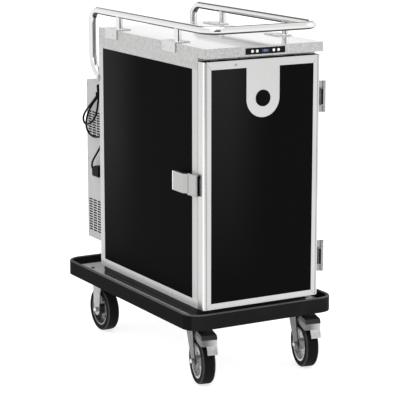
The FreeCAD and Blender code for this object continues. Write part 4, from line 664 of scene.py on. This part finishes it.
def sideways(x):
    """The direction out of the left or right side that a place lies on."""
    return Vector((math.copysign(1, x), 0, 0))


# Cabinet fasteners
RIVET_RADIUS = 0.0024
RIVET_PITCH = 0.205
RIVET_TOP = 0.02
RIVET_ENDS = 0.03


def casing_fasteners():
    """Rivets down both rear stiles and a screw in each lower corner of the side frames."""
    rear_y = (side_high.y + casing_high.y) / 2
    front_y = (side_low.y + casing_low.y) / 2
    foot_z = (side_low.z + casing_low.z) / 2
    count = int((casing_high.z - casing_low.z - RIVET_ENDS) / RIVET_PITCH)
    heights = [casing_high.z - RIVET_TOP - RIVET_PITCH * index for index in range(count)]
    for side, x in (("left", casing_low.x), ("right", casing_high.x)):
        places = [(x, rear_y, z) for z in heights] + [(x, front_y, foot_z), (x, rear_y, foot_z)]
        screws(f"rivets_{side}", places, sideways(x), RIVET_RADIUS, "steel", "trolley")


# Guard rail, and its brackets: how far each reaches ahead of its post and behind it
BRACKET_AHEAD = 0.013
BRACKET_BACK = 0.070
SIDE_SCREWS_BEHIND = (0.016, 0.060)
SIDE_SCREW_DROP = 0.015
SIDE_SCREW_RADIUS = 0.0034
TOP_SCREW_BEHIND = 0.052
TOP_SCREW_SIDE_SHARE = 0.9
TOP_SCREW_RADIUS = 0.0032
RAIL_RADIUS = 0.0125
POST_RADIUS = 0.011
post_spots = (posts_low.y + BRACKET_AHEAD, posts_high.y - BRACKET_BACK)
rail_sides = (rail_low.x + RAIL_RADIUS, rail_high.x - RAIL_RADIUS)
bracket_top = cover_high.z + BRACKET_SHEET

# A weld bead's outline: how far it stands out from the post, and its height
WELD_BEAD = ((-0.001, 0), (0.002, 0), (0.0018, 0.0008), (0.0008, 0.0018), (-0.001, 0.0022), (-0.001, 0))
ROSE_RADIUS = 0.021
ROSE_THICKNESS = 0.003
ROSE_EDGE = 0.0018
ROSE_FACE_RADIUS = 0.0195
ROSE_GAP = 0.0001


def bracket_fasteners():
    """Two screws in the side leaf of each rail bracket and one in its top leaf."""
    side_z = cover_high.z - SIDE_SCREW_DROP
    for side, x in (("left", posts_low.x), ("right", posts_high.x)):
        places = [(x, y + behind, side_z) for y in post_spots for behind in SIDE_SCREWS_BEHIND]
        screws(f"bracket_screws_{side}", places, sideways(x), SIDE_SCREW_RADIUS, "rail_steel", "trolley")
    places = [(x * TOP_SCREW_SIDE_SHARE, y + TOP_SCREW_BEHIND, bracket_top)
              for x in rail_sides for y in post_spots]
    screws("bracket_top_screws", places, UP, TOP_SCREW_RADIUS, "rail_steel", "trolley")


def post_welds():
    """A weld bead round each post's foot."""
    bead = [(POST_RADIUS + out, height) for out, height in WELD_BEAD]
    forms = [(lathe, (x, y, bracket_top), UP, bead, WELD_STEPS) for y in post_spots for x in rail_sides]
    new_piece("post_welds", forms, "rail_steel", "trolley")


def rail_roses():
    """The round flanges where the handle's ends meet the cabinet's back."""
    tube = RAIL_RADIUS + ROSE_GAP
    rose = [(tube, 0), (ROSE_RADIUS, 0), (ROSE_RADIUS, ROSE_EDGE), (ROSE_FACE_RADIUS, ROSE_THICKNESS),
            (tube, ROSE_THICKNESS), (tube, 0)]
    handle_z = rail_low.z + RAIL_RADIUS
    forms = [(lathe, (x, casing_high.y, handle_z), BACK, rose, ROSE_STEPS) for x in rail_sides]
    new_piece("rail_roses", forms, "rail_steel", "trolley")


# Door
DOOR_EDGE = 0.0095
DOOR_END = 0.001
LINE_THICKNESS = 0.00006
SEAM_WIDTH = 0.0005
FOLD_WIDTH = 0.0022
FOLD_INSET = 0.002
TOP_SHADE_INSET = 0.004
TOP_SHADE_BACK_INSET = 0.0012
TOP_SHADE_THICKNESS = 0.0004
DOOR_SCREW_SIDE_SHARE = 0.53
DOOR_SCREW_DROP = 0.001
DOOR_SCREW_RADIUS = 0.0036
PAD_PROUD = 0.0003
PAD_FRONT = 0.011
PAD_REAR = 0.002
PAD_HEIGHT = 0.065
PAD_ROUNDING = 0.0003


def door_details():
    """Mitre seams in the door's frame, and a dark line of painted shade at the fold beside each rounded
    edge.
    """
    front = door_low.y
    foot = door_low.z + DOOR_END
    top = door_high.z - DOOR_END
    seams = []
    fold_shades = []
    for x, inner_x in ((door_low.x + DOOR_EDGE, panel_low.x), (door_high.x - DOOR_EDGE, panel_high.x)):
        for z, inner_z in ((foot, panel_low.z), (top, panel_high.z)):
            ends = ((inner_x, front, inner_z), (x, front, z))
            seams.append((strip, *ends, FRONT, SEAM_WIDTH, LINE_THICKNESS))
        fold_x = x + math.copysign(FOLD_INSET, inner_x - x)
        ends = ((fold_x, front, foot), (fold_x, front, top))
        fold_shades.append((strip, *ends, FRONT, FOLD_WIDTH, LINE_THICKNESS))
    new_piece("door_mitres", seams, "steel", "door", SEAM)
    new_piece("door_fold_shades", fold_shades, "steel", "door", FOLD_SHADE)


def door_top():
    """A black strip on the door's top, painted shade of the gap under the header, and the screw in its top
    rail.
    """
    # Painted shade: a thin black strip lying on the door's top darkens the gap below the header.
    shade_strip = (slab, (door_low.x + TOP_SHADE_INSET, door_low.y + TOP_SHADE_INSET, door_high.z),
            (door_high.x - TOP_SHADE_INSET, door_high.y - TOP_SHADE_BACK_INSET, door_high.z + TOP_SHADE_THICKNESS))
    new_piece("door_top_shade_strip", [shade_strip], "gasket", "door")
    screw_z = (door_high.z + panel_high.z) / 2 - DOOR_SCREW_DROP
    place = (panel_low.x * DOOR_SCREW_SIDE_SHARE, door_low.y, screw_z)
    screws("door_top_screw", [place], FRONT, DOOR_SCREW_RADIUS, "zinc", "door")


def latch_gap_shade():
    """A black pad round the door's keeper, under the latch's nose: painted shade of the gap there."""
    low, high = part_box("latch_keeper")
    middle_z = (low.z + high.z) / 2
    pad = (rounded_slab, (low.x - PAD_PROUD, high.y - PAD_FRONT, middle_z - PAD_HEIGHT / 2),
           (high.x, high.y - PAD_REAR, middle_z + PAD_HEIGHT / 2), PAD_ROUNDING)
    new_piece("latch_gap_shade", [pad], "gasket", "door")


# Control panel
GLASS_WIDTH = 0.0254
GLASS_HEIGHT = 0.0094
GLASS_FRONT = 0.0001
GLASS_BACK = 0.00048
FIGURE_WIDTH = 0.0034
FIGURE_HEIGHT = 0.0056
FIGURE_PITCH = 0.0068
STROKE_WIDTH = 0.0009
STROKE_THICKNESS = 0.00005

# The strokes of two figures, and each stroke's ends in halves of a figure's width and height
FIGURES = {"0": "abcdef", "4": "bcfg"}
STROKES = {
    "a": ((-1, 1), (1, 1)),
    "b": ((1, 1), (1, 0)),
    "c": ((1, 0), (1, -1)),
    "d": ((-1, -1), (1, -1)),
    "e": ((-1, 0), (-1, -1)),
    "f": ((-1, 1), (-1, 0)),
    "g": ((-1, 0), (1, 0)),
}
KEY_RING = ((0.0039, 0), (0.0047, 0), (0.0046, 0.0003), (0.0042, 0.0004), (0.0039, 0.0003), (0.0039, 0))


def display():
    """The display's glass in its recess, with two plain figures."""
    middle_z = (control_low.z + control_high.z) / 2
    front = control_low.y + GLASS_FRONT
    glass = (slab, (-GLASS_WIDTH / 2, front, middle_z - GLASS_HEIGHT / 2),
             (GLASS_WIDTH / 2, control_low.y + GLASS_BACK, middle_z + GLASS_HEIGHT / 2))
    new_piece("display_window", [glass], "bezel", "trolley", DISPLAY)
    forms = []
    for figure, x in (("0", -FIGURE_PITCH / 2), ("4", FIGURE_PITCH / 2)):
        for stroke in FIGURES[figure]:
            ends = [(x + across * FIGURE_WIDTH / 2, front, middle_z + up * FIGURE_HEIGHT / 2)
                    for across, up in STROKES[stroke]]
            forms.append((strip, *ends, FRONT, STROKE_WIDTH, STROKE_THICKNESS))
    new_piece("display_figures", forms, "bezel", "trolley", DIGITS)


def button_rings():
    """A raised ring round each key."""
    forms = []
    for word in ("one", "two", "three", "four"):
        key_low, key_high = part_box(f"button_{word}")
        middle = (key_low + key_high) / 2
        forms.append((lathe, (middle.x, control_low.y, middle.z), FRONT, KEY_RING, CAP_STEPS))
    new_piece("button_rings", forms, "button", "trolley")


# Hinges: how far a cover's two faces stand out from the cabinet's side, and its other sizes
HINGE_COVER_NEAR = 0.0036
HINGE_COVER_FAR = 0.0125
HINGE_COVER_PROUD = 0.0004
HINGE_COVER_DEPTH = 0.0112
HINGE_COVER_GAP = 0.0012
HINGE_COVER_ROUNDING = 0.0008
HINGE_MIDDLE_HEIGHT = 0.0546


def hinge_covers():
    """Black moulded covers on the fixed middle of each hinge."""
    low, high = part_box("hinge_brackets")
    for name, z in (("lower", low.z), ("upper", high.z - HINGE_MIDDLE_HEIGHT)):
        near = (casing_high.x + HINGE_COVER_NEAR, low.y - HINGE_COVER_PROUD, z + HINGE_COVER_GAP)
        far = (casing_high.x + HINGE_COVER_FAR, low.y + HINGE_COVER_DEPTH,
               z + HINGE_MIDDLE_HEIGHT - HINGE_COVER_GAP)
        cover = (rounded_slab, near, far, HINGE_COVER_ROUNDING)
        new_piece(f"hinge_cover_{name}", [cover], "gasket", "trolley")


# Base
MAT_THICKNESS = 0.005
MAT_SHRINK = 0.998
MAT_STUD_X = 0.201
MAT_STUD_BACK = 0.073
MAT_STUD_RADIUS = 0.006


def mat_form(work, plate):
    """A mat of a plate's outline, drawn in a little, that lies on the plate."""
    low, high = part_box(plate)
    middle_z = (low.z + high.z) / 2
    work.from_mesh(nodes[plate].data)
    for vert in work.verts:
        vert.co.x *= MAT_SHRINK
        vert.co.y *= MAT_SHRINK
        vert.co.z = high.z + (MAT_THICKNESS if vert.co.z > middle_z else 0)


def deck_mat():
    """A grey liner on the base plate, held by two dark studs at the back."""
    new_piece("deck_mat", [(mat_form, "base_plate")], "deck", "trolley")
    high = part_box("base_plate")[1]
    places = [(x, high.y - MAT_STUD_BACK, high.z + MAT_THICKNESS) for x in (-MAT_STUD_X, MAT_STUD_X)]
    screws("mat_studs", places, UP, MAT_STUD_RADIUS, "zinc", "trolley", DARK_BOLT)


# Brake pedals
PEDAL_WIDTH = 0.051
TAB_WIDTH = 0.034
TAB_LENGTH = 0.026
TAB_FLARE = 0.010
TAB_REACH = 0.1215
RIB_COUNT = 4
RIB_WIDTH = 0.0042
RIB_HEIGHT = 0.0011
RIB_LENGTH_SHARE = 0.62
RIB_FOOT = 0.003


def pedal_ribs():
    """Raised ribs down the sloped tab of each brake pedal."""
    slope = math.atan2(TAB_FLARE, TAB_LENGTH)
    for side in FRONT_CASTERS:
        axis = wheel_axis(side)
        ahead = axis.cross(UP)
        plate_low, plate_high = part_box(f"{side}_caster_plate")
        swivel = (plate_low + plate_high) / 2
        tab_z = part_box(f"{side}_brake_lever")[0].z
        foot = Vector((swivel.x, swivel.y, tab_z)) + ahead * TAB_REACH
        down = (ahead * math.sin(slope) - UP * math.cos(slope)).normalized()
        out = axis.cross(down).normalized()
        if out.dot(ahead) < 0:
            out = -out
        forms = []
        for index in range(RIB_COUNT):
            across = PEDAL_WIDTH / 2 - TAB_WIDTH * (index + 0.5) / RIB_COUNT
            start = foot + axis * across - down * RIB_FOOT
            end = start - down * (TAB_LENGTH * RIB_LENGTH_SHARE)
            forms.append((strip, start, end, out, RIB_WIDTH, RIB_HEIGHT))
        new_piece(f"{side}_pedal_ribs", forms, "zinc", f"{side}_brake", PEDAL_LIT_PLATE)


# Wheels: outlines of (radius, height), and how far each lies from the wheel's middle along its axle
TYRE_LINE = ((0.0640, -0.0002), (0.0652, -0.0002), (0.0650, 0.0004), (0.0642, 0.0004), (0.0640, -0.0002))
TYRE_LINE_OUT = 0.022
HUB_RING = ((0.0182, 0), (0.0222, 0), (0.0215, 0.0012), (0.0190, 0.0016), (0.0182, 0))
HUB_RING_OUT = 0.006
RIM_RING = ((0.0500, -0.0004), (0.0567, -0.0004), (0.0562, 0.0009), (0.0508, 0.0009), (0.0500, -0.0004))
RIM_RING_OUT = 0.019
AXLE_CAP = ((0, 0), (0.0085, 0), (0.00782, 0.0016), (0.00595, 0.0030), (0.00306, 0.0039), (0, 0.0042))
FRONT_AXLE_HALF = 0.0368


def wheel_rings():
    """A rim and hub ring on each side of a wheel, in a lit copy of the plating on the front wheels and a
    shaded copy on the rear ones, and a moulded line round its tyre.
    """
    for side in FRONT_CASTERS + REAR_CASTERS:
        low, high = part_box(f"{side}_tyre")
        middle = (low + high) / 2
        axis = wheel_axis(side)
        # Painted light on the front rings and painted shade on the rear ones.
        finish = LIT_WHEEL_CORE if side in FRONT_CASTERS else REAR_RING_SHADED
        for face, out in (("inner", axis), ("outer", -axis)):
            line = (lathe, middle + out * TYRE_LINE_OUT, out, TYRE_LINE, RIM_STEPS)
            hub = (lathe, middle + out * HUB_RING_OUT, out, HUB_RING, HUB_STEPS)
            rim = (lathe, middle + out * RIM_RING_OUT, out, RIM_RING, RIM_STEPS)
            new_piece(f"{side}_{face}_tyre_line", [line], "tyre", f"{side}_wheel")
            new_piece(f"{side}_{face}_wheel_rings", [hub, rim], "zinc", f"{side}_wheel", finish)


def axle_caps():
    """Domed bright caps on the ends of the axles."""
    spots = []
    for side in FRONT_CASTERS:
        low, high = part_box(f"{side}_caster_axle")
        axis = wheel_axis(side)
        for out in (-axis, axis):
            spots.append((f"{side}_swivel", (low + high) / 2 + out * FRONT_AXLE_HALF, out))
    low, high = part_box("rear_axles")
    middle = (low + high) / 2
    for x in (low.x, high.x):
        spots.append(("trolley", (x, middle.y, middle.z), sideways(x)))
    for index, (body, spot, out) in enumerate(spots):
        cap = (lathe, spot, out, AXLE_CAP, CAP_STEPS)
        smooth(new_piece(f"axle_cap_{index + 1}", [cap], "rail_steel", body))


# Cooling unit
FILTER_THICKNESS = 0.0006
FILTER_GAP = 0.0001
FILTER_FRONT_GAP = 0.0006
FILTER_END_GAP = 0.002
UNIT_SCREW_EDGE = 0.009
UNIT_SCREW_FOOT = 0.02
UNIT_SCREW_TOP = 0.018
UNIT_SCREW_RADIUS = 0.0026


def dust_filters():
    """Thin black filter mats behind the slits of the unit's sides and back."""
    inset = UNIT_SHEET + FILTER_GAP
    low = unit_low + Vector((inset, FILTER_FRONT_GAP, inset))
    high = unit_high - Vector((inset, inset, inset))
    side_end = high.y - FILTER_END_GAP
    mats = {
        "left": (low, (low.x + FILTER_THICKNESS, side_end, high.z)),
        "right": ((high.x - FILTER_THICKNESS, low.y, low.z), (high.x, side_end, high.z)),
        "back": ((low.x + FILTER_END_GAP, high.y - FILTER_THICKNESS, low.z),
                 (high.x - FILTER_END_GAP, high.y, high.z)),
    }
    for side, corners in mats.items():
        new_piece(f"filter_mat_{side}", [(slab, *corners)], "gasket", "trolley")


def unit_screws():
    """Screws along the housing's edges."""
    heights = (unit_low.z + UNIT_SCREW_FOOT, (unit_low.z + unit_high.z) / 2, unit_high.z - UNIT_SCREW_TOP)
    for side, x in (("left", unit_low.x), ("right", unit_high.x)):
        places = [(x, unit_high.y - UNIT_SCREW_EDGE, z) for z in heights]
        screws(f"unit_screws_{side}", places, sideways(x), UNIT_SCREW_RADIUS, "zinc", "trolley")
    edges = (unit_low.x + UNIT_SCREW_EDGE, unit_high.x - UNIT_SCREW_EDGE)
    places = [(x, unit_high.y, z) for x in edges for z in heights]
    screws("unit_screws_back", places, BACK, UNIT_SCREW_RADIUS, "zinc", "trolley")


# Power cord
def cord_point(out, behind, below_top):
    """A point of the cord's route, from the unit's top left corner at the cabinet's back."""
    return Vector((unit_low.x - out * MM, unit_low.y + behind * MM, unit_high.z - below_top * MM))


def power_cord():
    """The cord on its hook, from the gland to the plug."""
    points = [cord_point(*spot) for spot in CORD_ROUTE]
    curve = bpy.data.curves.new("power_cord_line", "CURVE")
    curve.dimensions = "3D"
    curve.bevel_depth = CORD_DIAMETER / 2
    curve.bevel_resolution = 4
    curve.resolution_u = 8
    curve.use_fill_caps = True
    spline = curve.splines.new("NURBS")
    spline.points.add(len(points) - 1)
    for point, spot in zip(spline.points, points):
        point.co = (*spot, 1)
    spline.order_u = 3
    spline.use_endpoint_u = True
    cord = add_object("power_cord_sheath", curve)
    paint(cord, FINISHES["cord"])
    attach(cord, "trolley")
    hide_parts("power_cord")


# Studio
VIEW_AZIMUTH = math.radians(29.54)
VIEW_ELEVATION = math.radians(11.69)
VIEW_DISTANCE = 5.983
VIEW_TARGET = Vector((0.0215, 0, 0.4959))
VIEW_LENS = 160.03
SENSOR = 36
DOME_HORIZON = 1.0
DOME_UPPER = 0.9
DOME_UPPER_START = 0.5
DOME_STRENGTH = 1.3
FLOOR_REACH = 30
FLOOR_GLOW = 0.7
LAMP_AIM = Vector((0, 0, 0.55))

# Each lamp's name, place, width and power
LAMPS = (
    ("key", (-2.6, -3.0, 3.4), 2.2, 30),
    ("fill", (3.4, -2.0, 2.2), 2.4, 20),
    ("top", (0, 0.4, 4.2), 3.0, 30),
)


def stage_sheet(name, corners, material):
    """A flat sheet of the studio, which is no part of the object."""
    mesh = bpy.data.meshes.new(name)
    mesh.from_pydata(corners, [], [(0, 1, 2, 3)])
    sheet = add_object(name, mesh)
    paint(sheet, material)
    return sheet


def glow_material(name, strength):
    """White light of a given strength."""
    material = bpy.data.materials.new(name)
    material.use_nodes = True
    tree = material.node_tree
    tree.nodes.clear()
    emission = tree.nodes.new("ShaderNodeEmission")
    emission.inputs["Strength"].default_value = strength
    output = tree.nodes.new("ShaderNodeOutputMaterial")
    tree.links.new(emission.outputs["Emission"], output.inputs["Surface"])
    return material


def card(name, bearing, distance, width, low, high, strength):
    """A card that only reflections see, at a bearing from the camera's side of the object."""
    turn = math.radians(bearing) - VIEW_AZIMUTH - math.pi / 2
    middle = Vector((math.cos(turn), math.sin(turn), 0)) * distance
    across = Vector((-math.sin(turn), math.cos(turn), 0)) * (width / 2)
    start, end = middle - across, middle + across
    corners = [(*start.xy, low), (*end.xy, low), (*end.xy, high), (*start.xy, high)]
    sheet = stage_sheet(name, corners, glow_material(name, strength))
    sheet.visible_camera = False
    sheet.visible_diffuse = False
    sheet.visible_shadow = False
    sheet.visible_transmission = False


def soft_world():
    """An even pale dome, a little brighter towards the horizon."""
    world = bpy.data.worlds.new("studio")
    scene.world = world
    world.use_nodes = True
    tree = world.node_tree
    background = tree.nodes["Background"]
    coordinates = tree.nodes.new("ShaderNodeTexCoord")
    split = tree.nodes.new("ShaderNodeSeparateXYZ")
    ramp = tree.nodes.new("ShaderNodeValToRGB")
    tree.links.new(coordinates.outputs["Generated"], split.inputs["Vector"])
    tree.links.new(split.outputs["Z"], ramp.inputs["Fac"])
    horizon, upper = ramp.color_ramp.elements
    horizon.position = 0
    horizon.color = (DOME_HORIZON, DOME_HORIZON, DOME_HORIZON, 1)
    upper.position = DOME_UPPER_START
    upper.color = (DOME_UPPER, DOME_UPPER, DOME_UPPER, 1)
    tree.links.new(ramp.outputs["Color"], background.inputs["Color"])
    background.inputs["Strength"].default_value = DOME_STRENGTH


def floor():
    """A pale floor that glows a little, so that it stays near white."""
    pale = Finish("pale_floor", (0.5, 0.5, 0.5), roughness=0.7, gloss=0.2)
    pale.shader.inputs["Emission Color"].default_value = (1, 1, 1, 1)
    pale.shader.inputs["Emission Strength"].default_value = FLOOR_GLOW
    corners = [(x * FLOOR_REACH, y * FLOOR_REACH, 0) for x, y in ((-1, -1), (1, -1), (1, 1), (-1, 1))]
    stage_sheet("floor", corners, pale.material)


def lamps():
    for name, spot, width, power in LAMPS:
        light = bpy.data.lights.new(name, "AREA")
        light.size = width
        light.energy = power
        lamp = add_object(name, light)
        lamp.location = spot
        lamp.rotation_euler = (LAMP_AIM - Vector(spot)).to_track_quat("-Z", "Y").to_euler()


def studio():
    scene.view_settings.view_transform = "Standard"
    soft_world()
    floor()
    lamps()
    card("dark_behind_camera", bearing=14, distance=3.0, width=1.7, low=0.1, high=2.2, strength=0.02)
    card("dark_behind_object_low", bearing=180, distance=1.6, width=2.6, low=0, high=1.1, strength=0.05)
    card("dark_behind_object_high", bearing=180, distance=1.6, width=2.6, low=1.85, high=4.0, strength=0.2)
    card("bright_behind_left", bearing=-156, distance=2.4, width=1.1, low=0, high=0.4, strength=3.0)


def camera():
    """The photograph's view: from the front left, a little above."""
    level = math.cos(VIEW_ELEVATION)
    forward = Vector((math.sin(VIEW_AZIMUTH) * level, math.cos(VIEW_AZIMUTH) * level,
                      -math.sin(VIEW_ELEVATION)))
    lens = bpy.data.cameras.new("view")
    lens.sensor_width = SENSOR
    lens.lens = VIEW_LENS
    eye = add_object("view", lens)
    eye.location = VIEW_TARGET - forward * VIEW_DISTANCE
    eye.rotation_euler = forward.to_track_quat("-Z", "Y").to_euler()
    scene.camera = eye


camera()
power_cord()
finish_nodes()
finish_faces()
soft_edges()
casing_fasteners()
bracket_fasteners()
post_welds()
rail_roses()
door_details()
door_top()
latch_gap_shade()
display()
button_rings()
hinge_covers()
deck_mat()
pedal_ribs()
wheel_rings()
axle_caps()
dust_filters()
unit_screws()
studio()

bpy.context.view_layer.update()
